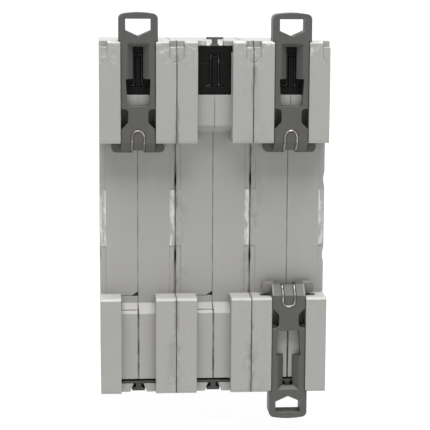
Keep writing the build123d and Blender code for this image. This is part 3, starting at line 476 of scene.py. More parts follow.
def housing_dirt_and_shade(paint, across, upright, look):
    """How much dirt lies along the joints and parting lines, in specks and stains, and how much painted shade lies
    in corners.
    """
    up = paint.unsigned(upright)
    joint = paint.unsigned(paint.unsigned(across) - half_pitch)
    parting = paint.maths("PINGPONG", across, half_pitch)
    broken = paint.step(paint.noise(0.0024, 4, (1, 1, 0.5), rough=0.65), 0.36, 0.58)
    bow = 1 - paint.step(paint.unsigned(up - look.slit_height), 0.0, 0.0055)
    joint_line = 1 - paint.step(joint - look.line_width * (0.45 + 0.35 * broken + 1.1 * bow), 0.0, 0.00009)
    lower = paint.step(-upright, *lower_channel)
    upper = paint.step(upright, *upper_channel)
    parting_line = 1 - paint.step(parting - lower * 0.00012, 0.00005, 0.00016)
    parting_line = parting_line * (0.25 + 0.45 * broken + 0.3 * lower - 0.2 * upper)
    smear = paint.step(paint.noise(0.0026, 5, (1, 1, 0.4), rough=0.7), 0.46, 0.64)
    near_joint = (1 - paint.step(joint, 0.0, 0.0009)) * smear
    patch = paint.step(paint.noise(0.0042, 5, (1, 1, 0.6), rough=0.72), 0.50, 0.66)
    stain = patch * (1 - paint.step(joint, 0.0006, 0.0042)) * look.stain * (1 - 0.5 * upper)
    # Painted shade: corners and slits found by ambient occlusion are drawn darker in the dirt colour.
    corner = paint.step(paint.hollow(0.0025), 0.30, 0.95)
    speck = paint.step(paint.noise(0.0007, 2), 0.62, 0.74)
    film = (near_joint * 0.85 + corner * 0.5 + speck * 0.12) * look.grime_and_corner_shade
    return paint.most(paint.most(joint_line * 0.92, parting_line), film + stain)


def clip_plastic(look, name, lower):
    """Dark grey filled moulding: flow lines, edges painted lighter as rubbed wear and painted highlight, painted
    light on the lower clip's wings, painted shade in deep corners, and a second colour below, which for the keys
    is painted shade.
    """
    paint = Paint(name)
    normal, edge = paint.rounded(look.edge_radius)
    flow = paint.noise(0.0016, 4, (1, 1, 0.12), rough=0.6)
    fibre = paint.step(paint.noise(0.00035, 2, (1, 1, 0.18)), 0.60, 0.72)
    cloud = paint.noise(0.006, 3)
    grain = paint.noise(look.grain_size, 2)
    # Painted shade: deep corners found by ambient occlusion are drawn dark in the crevice colour.
    corner = paint.step(paint.hollow(0.0028), 0.12, 0.85)
    upright = paint.part(2)
    aside = paint.unsigned(paint.unsigned(paint.part(0)) - half_pitch * 2)
    # Painted light: the lower clip's wings, lit from above, are made paler.
    lit_wing = paint.step(aside, look.wing_reach, look.wing_reach * 1.1) * paint.step(upright, *wing_start)
    dust = lit_wing * (1 - paint.step(upright, *wing_end))
    # Below the middle the finish takes its lower colour; on the keys this is painted shade.
    tone = paint.mix(paint.step(upright, *shade_border), lower, look.clip)
    # Edges are painted lighter, partly as rubbed wear and partly as a painted highlight.
    tone = paint.shade(tone, 0.86 + 0.2 * flow + 0.14 * cloud + 1.0 * edge + 0.10 * fibre)
    tone = paint.mix(dust * 0.6, tone, look.painted_wing_light)
    tone = paint.mix(corner * 0.7, tone, look.crevice_shade)
    rough = 0.40 + 0.14 * flow + 0.08 * cloud - 0.06 * edge
    height = grain * 0.5 + flow * 0.5 + fibre * 0.15
    return paint.finish(tone, rough, height, 0.00005, normal)


def dark_plastic(name, tone, look, gloss, shine=0.5):
    """Black moulding with dust, faint scratches and edges painted lighter, as rubbed wear and painted highlight.
    """
    paint = Paint(name)
    normal, edge = paint.rounded(look.edge_radius)
    cloud = paint.noise(0.004, 4)
    grain = paint.noise(look.grain_size, 2)
    dust = paint.step(paint.noise(0.0009, 3), 0.58, 0.78)
    scratch = paint.step(paint.noise(0.0009, 4, (0.05, 1, 1), (0, 0.2, 0.1), 0.7), 0.63, 0.70)
    tone = paint.shade(tone, 0.9 + 0.3 * cloud + 1.6 * edge)
    tone = paint.mix(0.02 * dust + 0.05 * scratch, tone, look.dust)
    rough = 1 - gloss + 0.12 * cloud + 0.12 * dust
    height = grain * 0.4 - scratch * 0.4
    return paint.finish(tone, rough, height, 0.00004, normal, Specular_IOR_Level=shine)


def bobbin_plastic(look):
    """Natural glass-filled moulding with pale fibres."""
    paint = Paint("bobbin_plastic")
    normal, edge = paint.rounded(look.edge_radius)
    cloud = paint.noise(0.005, 3)
    fibre = paint.step(paint.noise(0.0003, 2, (1, 0.2, 1)), 0.6, 0.72)
    # Edges are painted a little lighter, as a painted highlight.
    tone = paint.shade(look.bobbin, 0.88 + 0.2 * cloud + 0.1 * edge + 0.12 * fibre)
    height = fibre * 0.4 + cloud * 0.3
    rough = 0.42 + 0.14 * cloud
    return paint.finish(tone, rough, height, 0.00004, normal)


def fibre_card(look):
    """Pressed brown fibre board whose fuzzy cut edges are painted lighter, partly as fuzz and partly as a painted
    highlight.
    """
    paint = Paint("card")
    normal, edge = paint.rounded(look.edge_radius)
    fibre = paint.noise(0.0006, 5, (1, 0.2, 1), (0.5, 0, 0), 0.7)
    speck = paint.step(paint.cells(0.0012), 0.0, 0.25)
    tone = paint.shade(look.card, 0.75 + 0.45 * fibre + 0.3 * edge)
    tone = paint.mix(0.3 - 0.3 * speck, tone, look.fleck)
    rough = 0.72 + 0.16 * fibre
    return paint.finish(tone, rough, fibre, 0.00008, normal)


def plated_steel(look, plastics):
    """Zinc plated steel: soft cloudy sheen, faint rolling lines and dull spots."""
    paint = Paint("steel")
    normal, edge = paint.rounded(plastics.edge_radius * 0.6)
    cloud = paint.noise(0.003, 4)
    rolled = paint.noise(0.0005, 3, (1, 1, 0.05))
    spot = paint.step(paint.noise(0.0016, 3), 0.62, 0.78)
    recess = paint.step(paint.hollow(0.0012), 0.25, 0.85)
    # Edges are painted lighter, as a painted highlight.
    tone = paint.shade(look.steel, 0.82 + 0.28 * cloud + 0.12 * edge)
    tone = paint.mix(paint.most(0.35 * spot, 0.8 * recess), tone, look.oxide)
    rough = 0.28 + 0.14 * cloud + 0.2 * spot
    return paint.finish(tone, rough, rolled * look.drawn + cloud * 0.3, 0.00003, normal, Metallic=1.0)


def bright_wire(look):
    """Drawn spring wire: bright, with fine lines and a few dull patches."""
    paint = Paint("spring_steel")
    drawn = paint.noise(0.00025, 3, (1, 1, 0.08))
    patch = paint.step(paint.noise(0.002, 3), 0.55, 0.75)
    tone = paint.shade(look.wire, 0.88 + 0.18 * drawn)
    tone = paint.mix(0.3 * patch, tone, look.patch)
    rough = 0.17 + 0.16 * patch + 0.10 * drawn
    return paint.finish(tone, rough, drawn, 0.00002, Metallic=1.0)


def dull_wire(look):
    """Spring wire dulled by dust and grease, with a few bright spots."""
    paint = Paint("dull_wire")
    drawn = paint.noise(0.00025, 3, (1, 1, 0.08))
    bright = paint.step(paint.noise(0.0020, 3), 0.52, 0.72)
    tone = paint.mix(0.22 * bright, look.dull, look.wire)
    return paint.finish(tone, 0.60 - 0.1 * bright, drawn, 0.00002, Metallic=1.0)


def clip_wire(look):
    """The clips' wire: bright, with grey film in bands."""
    paint = Paint("clip_wire")
    film = paint.step(paint.noise(0.0016, 4, rough=0.6), 0.38, 0.58)
    tone = paint.mix(0.42 + 0.50 * film, look.wire, look.film)
    return paint.finish(tone, 0.38 + 0.2 * film, film, 0.00001, Metallic=1.0)


def bare_copper(look, plastics):
    """Copper strip with brown tarnish and rolling lines."""
    paint = Paint("copper")
    normal, edge = paint.rounded(plastics.edge_radius * 0.6)
    cloud = paint.noise(0.0035, 5)
    rolled = paint.noise(0.0004, 3, (0.06, 1, 1))
    tarnish = paint.step(cloud, 0.45, 0.75)
    # Edges are painted lighter, as a painted highlight.
    tone = paint.shade(look.copper, 0.85 + 0.25 * rolled + 0.15 * edge)
    tone = paint.mix(0.55 * tarnish, tone, look.tarnish)
    return paint.finish(tone, 0.24 + 0.22 * tarnish, rolled * look.drawn, 0.00003, normal, Metallic=1.0)


def lacquered_copper(look):
    """Winding wire under a clear amber lacquer."""
    paint = Paint("lacquered_copper")
    cloud = paint.noise(0.0014, 4)
    run = paint.step(paint.noise(0.0006, 3), 0.5, 0.8)
    tone = paint.shade(look.lacquer, 0.8 + 0.45 * cloud)
    rough = 0.22 + 0.14 * run
    return paint.finish(tone, rough, run, 0.00002, Metallic=0.85, Coat_Weight=0.6)


def mark_ink(look):
    """White ink, a little worn."""
    paint = Paint("mark_ink")
    worn = paint.step(paint.noise(0.0005, 4), 0.5, 0.75)
    tone = paint.mix(0.3 * worn, look.mark, look.faded)
    return paint.finish(tone, 0.5 + 0.2 * worn, worn, 0.00001)


def paper(look):
    """Matt paper with the faintest tooth, lit from below."""
    paint = Paint("pale_floor")
    tooth = paint.noise(0.002, 3)
    tone = paint.shade(look.floor, 0.995 + 0.01 * tooth)
    return paint.finish(
        tone, 0.9, tooth, 0.00002, Emission_Color=(1, 1, 1, 1), Emission_Strength=look.floor_glow)


# Geometry trees

class Growth(Graph):
    """A Geometry Nodes tree with named inputs, which ends in Realize Instances and Set Material."""

    def __init__(self, name):
        super().__init__(bpy.data.node_groups.new(name, "GeometryNodeTree"))
        self.tree.interface.new_socket("Geometry", in_out="OUTPUT", socket_type="NodeSocketGeometry")
        self.tree.interface.new_socket("Geometry", in_out="INPUT", socket_type="NodeSocketGeometry")
        self.start = self.tree.nodes.new("NodeGroupInput")
        self.sockets = {}

    def input(self, name, kind):
        """A named input of the tree."""
        item = self.tree.interface.new_socket(name, in_out="INPUT", socket_type="NodeSocket" + kind)
        self.sockets[name] = item.identifier
        return Value(self, next(s for s in self.start.outputs if s.identifier == item.identifier))

    def given(self):
        """The geometry that the modifier works on."""
        return Value(self, self.start.outputs[0])

    def vector(self, x=0.0, y=0.0, z=0.0):
        """Three numbers as a vector."""
        return self.add("ShaderNodeCombineXYZ", None, {0: x, 1: y, 2: z})

    def join(self, *shapes):
        """Several shapes as one."""
        node = self.tree.nodes.new("GeometryNodeJoinGeometry")
        for shape in reversed(shapes):
            self.tree.links.new(shape.socket, node.inputs[0])
        return Value(self, node.outputs[0])

    def swept(self, path, profile):
        """A profile along a path."""
        inputs = {"Curve": path, "Profile Curve": profile, "Fill Caps": True}
        return self.add("GeometryNodeCurveToMesh", None, inputs)

    def copied(self, points, shape):
        """A shape at each of some points."""
        return self.add("GeometryNodeInstanceOnPoints", None, {"Points": points, "Instance": shape})

    def moved(self, shape, offset, turn=(0, 0, 0)):
        """A shape turned and moved."""
        inputs = {"Geometry": shape, "Translation": offset, "Rotation": turn}
        return self.add("GeometryNodeTransform", None, inputs)

    def row(self, copies, spacing):
        """Evenly spaced points."""
        return self.add("GeometryNodeMeshLine", None, {"Count": copies, "Offset": spacing})

    def less(self, solid, *cutters):
        """A solid less some others."""
        node = self.tree.nodes.new("GeometryNodeMeshBoolean")
        node.operation = "DIFFERENCE"
        node.solver = "EXACT"
        self.tree.links.new(solid.socket, node.inputs[0])
        for cutter in cutters:
            self.tree.links.new(cutter.socket, node.inputs[1])
        return Value(self, node.outputs[0])

    def finish(self, shape):
        """Realises the shape, gives it its material and closes the tree."""
        material = self.input("Material", "Material")
        shape = self.add("GeometryNodeRealizeInstances", None, {0: shape})
        shape = self.add("GeometryNodeSetShadeSmooth", None, {"Geometry": shape, "Shade Smooth": False})
        shape = self.add("GeometryNodeSetMaterial", None, {"Geometry": shape, "Material": material})
        output = self.tree.nodes.new("NodeGroupOutput")
        self.tree.links.new(shape.socket, output.inputs[0])
        return self


def wire_growth():
    """Round wire along a given path, copied at an even spacing."""
    grow = Growth("wire along a path")
    radius = grow.input("Wire Radius", "Float")
    sides = grow.input("Sides", "Int")
    copies = grow.input("Copies", "Int")
    spacing = grow.input("Spacing", "Vector")
    path = grow.add("GeometryNodeMeshToCurve", None, {"Mesh": grow.given()})
    ring = grow.add("GeometryNodeCurvePrimitiveCircle", None, {"Resolution": sides, "Radius": radius})
    wire = grow.swept(path, ring)
    return grow.finish(grow.copied(grow.row(copies, spacing), wire))


def rib_growth():
    """Rows of a given rib on two faces, copied at an even spacing."""
    grow = Growth("rows of ribs")
    rows = grow.input("Rows", "Int")
    step = grow.input("Row Step", "Vector")
    copies = grow.input("Copies", "Int")
    spacing = grow.input("Spacing", "Vector")
    turn = grow.input("Turn", "Rotation")
    pivot = grow.input("Pivot", "Vector")
    ribs = grow.copied(grow.row(rows, step), grow.given())
    ribs = grow.copied(grow.row(copies, spacing), ribs)
    return grow.finish(grow.moved(ribs, pivot, turn))


def screw_growth():
    """A turned blank with a wound thread and a driver's recess."""
    grow = Growth("threaded screw")
    names = ("Core Radius", "Thread Height", "Thread Pitch", "Thread Start", "Thread End")
    radius, ridge, pitch, first, last = (grow.input(name, "Float") for name in names)
    names = ("Slot Width", "Slot Depth", "Cross Reach", "Head Radius")
    slot_width, slot_depth, cross, head = (grow.input(name, "Float") for name in names)
    spot = grow.input("Place", "Vector")
    rise = last - first
    spiral = {"Resolution": 20, "Rotations": rise / pitch, "Height": rise}
    spiral |= {"Start Radius": radius, "End Radius": radius}
    path = grow.add("GeometryNodeCurveSpiral", None, spiral)
    tooth = grow.add("GeometryNodeCurvePrimitiveCircle", None, {"Resolution": 4, "Radius": ridge})
    thread = grow.moved(grow.swept(path, tooth), grow.vector(z=first))
    slot_size = grow.vector(slot_width, head * 3, slot_depth * 2)
    cross_size = grow.vector(cross * 2, slot_width, slot_depth * 2)
    slot = grow.add("GeometryNodeMeshCube", None, {"Size": slot_size})
    arm = grow.add("GeometryNodeMeshCube", None, {"Size": cross_size})
    screw = grow.join(grow.less(grow.given(), slot, arm), thread)
    return grow.finish(grow.moved(screw, spot, (-pi / 2, 0, 0)))


def rivet_growth():
    """A given rivet at each of some places."""
    grow = Growth("rivets at places")
    rivet = grow.input("Rivet", "Object")
    shape = grow.add("GeometryNodeObjectInfo", None, {"Object": rivet}, "Geometry")
    return grow.finish(grow.copied(grow.given(), shape))


# Making pieces

def path_mesh(name, lines):
    """A mesh of open lines, one for each list of points."""
    points, edges = [], []
    for line in lines:
        edges += [(len(points) + i, len(points) + i + 1) for i in range(len(line) - 1)]
        points += line
    mesh = bpy.data.meshes.new(name)
    mesh.from_pydata(points, edges, [])
    return mesh


def closed_mesh(name, points, faces):
    """A mesh whose faces are turned outwards."""
    mesh = bpy.data.meshes.new(name)
    mesh.from_pydata(points, [], faces)
    work = bmesh.new()
    work.from_mesh(mesh)
    bmesh.ops.remove_doubles(work, verts=work.verts, dist=1e-7)
    bmesh.ops.recalc_face_normals(work, faces=work.faces)
    work.to_mesh(mesh)
    work.free()
    return mesh


def lathe(name, profile, sides):
    """A closed turned shape about Z from (radius, z) points that start and end on the axis."""
    points, faces = [], []
    angles = [2 * pi * i / sides for i in range(sides)]
    for radius, z in profile:
        points += [(radius * cos(a), radius * sin(a), z) for a in angles]
    for base in range(0, (len(profile) - 1) * sides, sides):
        for i in range(sides):
            j = (i + 1) % sides
            faces.append((base + i, base + j, base + sides + j, base + sides + i))
    return closed_mesh(name, points, faces)


def helix(radius, low, high, turns, steps, direction=1):
    """Points of a helix about Z."""
    total = int(turns * steps)
    line = []
    for i in range(total + 1):
        along = i / total
        angle = direction * 2 * pi * turns * along
        line.append(Vector((radius * cos(angle), radius * sin(angle), low + (high - low) * along)))
    return line


def linked(name, data):
    """An object in the scene."""
    made = bpy.data.objects.new(name, data)
    bpy.context.scene.collection.objects.link(made)
    return made


def grown(name, mesh, growth, values, material, body):
    """The result of a geometry tree on a mesh, as a plain piece that rides on a body."""
    piece = linked(name, mesh)
    modifier = piece.modifiers.new("growth", "NODES")
    modifier.node_group = growth.tree
    for key, value in {**values, "Material": bpy.data.materials[material]}.items():
        modifier[growth.sockets[key]] = value
    graph = bpy.context.evaluated_depsgraph_get()
    result = bpy.data.meshes.new_from_object(piece.evaluated_get(graph), depsgraph=graph)
    piece.modifiers.clear()
    piece.data = result
    result.name = name
    if not result.polygons:
        raise RuntimeError(f"{name} came out empty")
    return settled(piece, body)


def settled(piece, body):
    """Lets a piece ride on its body, unless it will bend across a joint."""
    if body:
        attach(piece, body)
    return piece


def plain_piece(name, mesh, material, body):
    """A piece from a finished mesh."""
    mesh.materials.clear()
    mesh.materials.append(bpy.data.materials[material])
    return settled(linked(name, mesh), body)


def islands(node):
    """The lowest and highest corner of each loose solid of a CAD node."""
    work = bmesh.new()
    work.from_mesh(nodes[node].data)
    bmesh.ops.remove_doubles(work, verts=work.verts, dist=1e-7)
    left = set(work.verts)
    boxes = []
    while left:
        reached = [left.pop()]
        corners = []
        while reached:
            vert = reached.pop()
            corners.append(vert.co.copy())
            near = {edge.other_vert(vert) for edge in vert.link_edges} & left
            left -= near
            reached += near
        low = Vector(min(c[axis] for c in corners) for axis in range(3))
        high = Vector(max(c[axis] for c in corners) for axis in range(3))
        boxes.append((low, high))
    work.free()
    return sorted(boxes, key=lambda box: tuple(round(c, 5) for c in box[0]))


def pole_x(number):
    """The middle of a pole."""
    low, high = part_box(f"shell_left_{number}")[0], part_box(f"shell_right_{number}")[1]
    return (low.x + high.x) / 2


def pole_step():
    """From one pole to the next."""
    return Vector((pole_x(2) - pole_x(1), 0, 0))


def joint_limit(name):
    """Where a joint's range ends, in degrees or metres."""
    joint = next(row for row in frame["joints"] if row["name"] == name)
    return joint.get("range_deg", joint.get("range_m"))[1]


def wound(name, lines, radius, sides, material, body, copies=1, spacing=Vector()):
    """A piece of round wire along some lines."""
    values = {"Wire Radius": radius, "Sides": sides, "Copies": copies, "Spacing": spacing}
    return grown(name, path_mesh(name + " line", lines), wire_growth(), values, material, body)


def repeated(name, mesh, rows, row_step, copies, spacing, turn, pivot, material, body):
    """A piece in rows, and the rows in copies, turned about a pivot."""
    values = {"Rows": rows, "Row Step": row_step, "Copies": copies, "Spacing": spacing}
    values |= {"Turn": turn, "Pivot": pivot}
    return grown(name, mesh, rib_growth(), values, material, body)


class Step:
    """What every operator here shares."""

    bl_options = {"REGISTER", "UNDO"}


class BREAKER_OT_finishes(Step, bpy.types.Operator):
    """Give every solid of the breaker its finish"""

    bl_idname = "breaker.finishes"
    bl_label = "Finishes"

    def execute(self, context):
        plastics, metals = context.scene.breaker_plastics, context.scene.breaker_metals
        made = {
            "housing_plastic": housing_plastic(plastics),
            "clip_plastic": clip_plastic(plastics, "clip_plastic", plastics.clip),
            "black_plastic": dark_plastic("black_plastic", plastics.insert, plastics, 0.5, 0.16),
            "toggle_plastic": dark_plastic("toggle_plastic", plastics.toggle, plastics, 0.72),
            "bobbin_plastic": bobbin_plastic(plastics),
            "card": fibre_card(plastics),
            "steel": plated_steel(metals, plastics),
            "spring_steel": bright_wire(metals),
            "copper": bare_copper(metals, plastics),
        }
        filmed = clip_wire(metals)
        special = {name: filmed for name in nodes if name.startswith("clip_spring")}
        special["insert_springs"] = dull_wire(metals)
        # The keys are drawn darker below the middle: painted shade on the lower keys.
        special["shell_keys"] = clip_plastic(plastics, "key_plastic", plastics.key)
        lacquered_copper(metals)
        mark_ink(plastics)
        for name, node in nodes.items():
            node.data.materials.clear()
            node.data.materials.append(special.get(name) or made[slot_of[name]])
        return {"FINISHED"}


class BREAKER_OT_coils(Step, bpy.types.Operator):
    """Wind the magnet coils with their leads"""

    bl_idname = "breaker.coils"
    bl_label = "Coils"

    def execute(self, context):
        look = context.scene.breaker_windings
        tubes = islands("coil_bobbins")
        low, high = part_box("coils")
        tube_low, tube_high = tubes[0]
        axis = (tube_low + tube_high) / 2
        inner = (tube_high.y - tube_low.y) / 2
        radius = (axis.y - low.y - inner) / 2 - look.coil_gap
        ring = inner + look.coil_gap + radius
        bottom = low.z + radius
        top = tube_high.z - radius - look.coil_gap
        lead = high.x - tubes[-1][1].x + inner - radius
        turns = helix(ring, bottom, top, look.coil_turns, look.steps, -1)
        start = [Vector((lead, high.y - axis.y, bottom)), Vector((ring, 4 * look.lead_radius, bottom))]
        finish = [Vector((ring, -look.lead_radius, top)), Vector((lead, 0, top + 2 * look.lead_radius))]
        finish.append(Vector((lead, 0, high.z)))
        line = [point + Vector((axis.x, axis.y, 0)) for point in start + turns + finish]
        spacing = Vector(((tubes[-1][0].x - tubes[0][0].x) / 2, 0, 0))
        piece = wound(
            "magnet_windings", [line], radius, look.coil_sides, "lacquered_copper", "housing",
            len(tubes), spacing)
        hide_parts("coils")
        return {"FINISHED"}


class BREAKER_OT_springs(Step, bpy.types.Operator):
    """Wind the contact springs and the plunger springs"""

    bl_idname = "breaker.springs"
    bl_label = "Springs"

    def execute(self, context):
        look = context.scene.breaker_windings
        for number in poles:
            low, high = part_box(f"contact_spring_{number}")
            piece = self.spring(f"contact_coil_{number}", low, high, look.contact_turns, look, None)
            middle = (low + high) / 2
            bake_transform(piece)
            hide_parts(f"contact_spring_{number}")
        for low, high in islands("plunger_springs"):
            middle = (low + high) / 2
            number = min(poles, key=lambda pole: abs(pole_x(pole) - middle.x))
            piece = self.spring(f"plunger_coil_{number}", low, high, look.plunger_turns, look, "housing")
            keep = 1 - joint_limit(f"plunger_{number}_slide") / (high.z - low.z)
            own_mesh(piece)
            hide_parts("plunger_springs")
        return {"FINISHED"}

    def spring(self, name, low, high, turns, look, body):
        """A compression spring between two corners, with a flat closed turn at each end."""
        wire = look.spring_wire
        closed = 1.6 * wire
        radius = (high.x - low.x) / 2 - wire
        bottom, top = low.z + wire, high.z - wire
        flat = helix(radius, bottom, bottom + closed, 1, look.steps)
        rise = helix(radius, bottom + closed, top - closed, turns - 2, look.steps)
        last = helix(radius, top - closed, top, 1, look.steps)
        middle = Vector((low.x + high.x, low.y + high.y, 0)) / 2
        line = [point + middle for point in flat + rise[1:] + last[1:]]
        return wound(name, [line], wire, look.spring_sides, "spring_steel", body)


class BREAKER_OT_braids(Step, bpy.types.Operator):
    """Lay the stranded leads of the contact arms"""

    bl_idname = "breaker.braids"
    bl_label = "Braids"

    def execute(self, context):
        look = context.scene.breaker_windings
        for number in poles:
            low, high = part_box(f"braid_{number}")
            half = (high.x - low.x) / 2
            bundle = half - look.strand_radius
            x = low.x + half
            run = half * 0.8
            corner = [
                (low.y + run, high.z), (low.y + run, low.z + 2.4 * run),
                (low.y + 1.3 * run, low.z + 1.3 * run), (low.y + 2.4 * run, low.z + run),
                (high.y, low.z + run),
            ]
            middle = smooth([Vector((x, y, z)) for y, z in corner], look.steps)
            phases = [i / look.strand_count for i in range(look.strand_count)]
            lines = [strand(middle, bundle, phase, look.strand_twists) for phase in phases]
            name = f"stranded_lead_{number}"
            piece = wound(name, lines, look.strand_radius, look.strand_sides, "copper", None)
            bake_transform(piece)
            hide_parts(f"braid_{number}")
        return {"FINISHED"}


def smooth(corners, steps):
    """Points of a smooth line through some corners."""
    line = []
    padded = [corners[0]] + corners + [corners[-1]]
    for a, b, c, d in zip(padded, padded[1:], padded[2:], padded[3:]):
        slow, fast = 2 * a - 5 * b + 4 * c - d, 3 * b - a - 3 * c + d
        for i in range(steps // 3):
            t = i * 3 / steps
            line.append(0.5 * (2 * b + (c - a) * t + slow * t ** 2 + fast * t ** 3))
    return line + [corners[-1]]


def strand(middle, bundle, phase, twists):
    """One strand that winds about a middle line in the YZ plane."""
    line = []
    for index, point in enumerate(middle):
        after, before = middle[min(index + 1, len(middle) - 1)], middle[max(index - 1, 0)]
        along = (after - before).normalized()
        across = Vector((1, 0, 0))
        up = along.cross(across)
        angle = 2 * pi * (phase + twists * index / len(middle))
        line.append(point + across * bundle * cos(angle) + up * bundle * 0.55 * sin(angle))
    return line


class BREAKER_OT_screws(Step, bpy.types.Operator):
    """Cut the terminal screws and the serrations of their strips"""

    bl_idname = "breaker.screws"
    bl_label = "Terminal screws"

    def execute(self, context):
        look = context.scene.breaker_screws
        growth = screw_growth()
        for name in [f"screw_{end}_{number}" for number in poles for end in ends]:
            node = "terminal_" + name
            low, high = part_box(node)
            middle = (low + high) / 2
            head = (high.z - low.z) / 2
            span = high.y - low.y
            core = head / look.head_ratio - look.thread_height
            neck, edge = look.head_length, look.edge
            profile = [
                (0, 0), (head - edge, 0), (head - edge / 3, edge / 3), (head, edge), (head, neck - edge),
                (head - edge, neck), (core, neck), (core, span - 2 * edge), (core - 1.5 * edge, span),
                (0, span),
            ]
            values = {
                "Core Radius": core, "Thread Height": look.thread_height, "Thread Pitch": look.thread_pitch,
                "Thread Start": neck + 2 * look.thread_height, "Thread End": span - 3 * edge,
                "Slot Width": look.slot_width, "Slot Depth": look.slot_depth,
                "Cross Reach": look.cross_reach, "Head Radius": head,
                "Place": Vector((middle.x, low.y, middle.z)),
            }
            mesh = lathe("screw blank", profile, look.sides)
            piece = grown(name, mesh, growth, values, "steel", name)
            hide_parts(node)
        for end in ends:
            self.serrate(end, look)
        return {"FINISHED"}

    def serrate(self, end, look):
        """Teeth on the side of an end's terminal strips that grips the wire."""
        low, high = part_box(f"terminal_screw_{end}_1")
        middle = (low + high) / 2
        half, rise = look.serration_width / 2, look.serration_height
        step = 2.4 * rise
        tooth = [(-half, 0, -rise), (half, 0, -rise), (half, rise, 0), (-half, rise, 0)]
        tooth += [(half, 0, rise), (-half, 0, rise)]
        faces = [(0, 1, 2, 3), (3, 2, 4, 5), (0, 5, 4, 1), (1, 4, 2), (0, 3, 5)]
        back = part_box("terminal_plates")[0].y + look.strip_thickness
        start = Vector((middle.x, back, middle.z - step * (look.serration_count - 1) / 2))
        mesh = closed_mesh("tooth", tooth, faces)
        repeated(
            f"strip_teeth_{end}", mesh, look.serration_count, Vector((0, 0, step)), len(poles), pole_step(),
            unturned, start, "copper", "housing")


class BREAKER_OT_rivets(Step, bpy.types.Operator):
    """Set the rivets with rolled heads"""

    bl_idname = "breaker.rivets"
    bl_label = "Rivets"

    def execute(self, context):
        look = context.scene.breaker_rivets
        boxes = islands("housing_rivets")
        low, high = boxes[0]
        half = (high.x - low.x) / 2
        head = (high.z - low.z) / 2
        shank = head * look.shank
        under = half - look.head_length
        rolled = [
            (0, half - look.dimple), (0.24 * head, half - 0.85 * look.dimple),
            (0.42 * head, half - 0.2 * look.dimple), (0.55 * head, half),
            (0.75 * head, half - 0.2 * look.crown), (0.92 * head, half - 0.6 * look.crown),
            (head, half - look.crown - look.rim), (head, under), (shank, under),
        ]
        profile = rolled + [(radius, -z) for radius, z in reversed(rolled)]
        mesh = lathe("rivet", profile, look.sides)
        mesh.transform(Matrix.Rotation(pi / 2, 4, "Y"))
        pattern = bpy.data.objects.new("rivet pattern", mesh)
        places = bpy.data.meshes.new("rivet places")
        places.from_pydata([(low + high) / 2 for low, high in boxes], [], [])
        growth = rivet_growth()
        piece = grown("rolled_rivets", places, growth, {"Rivet": pattern}, "steel", "housing")
        bpy.data.objects.remove(pattern)
        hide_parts("housing_rivets")
        return {"FINISHED"}


class BREAKER_OT_keys(Step, bpy.types.Operator):
    """Set the lower keys and the floors of their notches"""

    bl_idname = "breaker.keys"
    bl_label = "Lower keys"

    def execute(self, context):
        look = context.scene.breaker_keys
        lower = [box for box in islands("shell_keys") if box[1].z < 0]
        low, high = min(lower, key=lambda box: abs(box[0].x + box[1].x))
        self.cover(pole_x(1) - (low.x + high.x) / 2, low, high)
        front, back = low.y - look.floor_depth, low.y - look.floor_gap
        top, head, foot = high.z - look.floor_drop, look.floor_top, look.floor_foot
        outline = [(-head, top), (head, top), (foot, low.z), (-foot, low.z)]
        points = [(x, y, z) for y in (front, back) for x, z in outline]
        faces = [(0, 1, 2, 3), (4, 5, 6, 7)]
        faces += [(i, (i + 1) % 4, (i + 1) % 4 + 4, i + 4) for i in range(4)]
        repeated(
            "notch_floors", closed_mesh("notch floor", points, faces), 1, Vector(), len(poles), pole_step(),
            unturned, Vector((pole_x(1), 0, 0)), "housing_plastic", "housing")
        return {"FINISHED"}

    def cover(self, shift, low, high):
        """A copy of a lower key, some way along."""
        mesh = nodes["shell_keys"].data.copy()
        work = bmesh.new()
        work.from_mesh(mesh)
        others = [v for v in work.verts if v.co.z > high.z + mm or not low.x - mm < v.co.x < high.x + mm]
        bmesh.ops.delete(work, geom=others, context="VERTS")
        bmesh.ops.translate(work, verts=work.verts, vec=(shift, 0, 0))
        work.to_mesh(mesh)
        work.free()
        plain_piece("covered_key", mesh, "key_plastic", "housing")


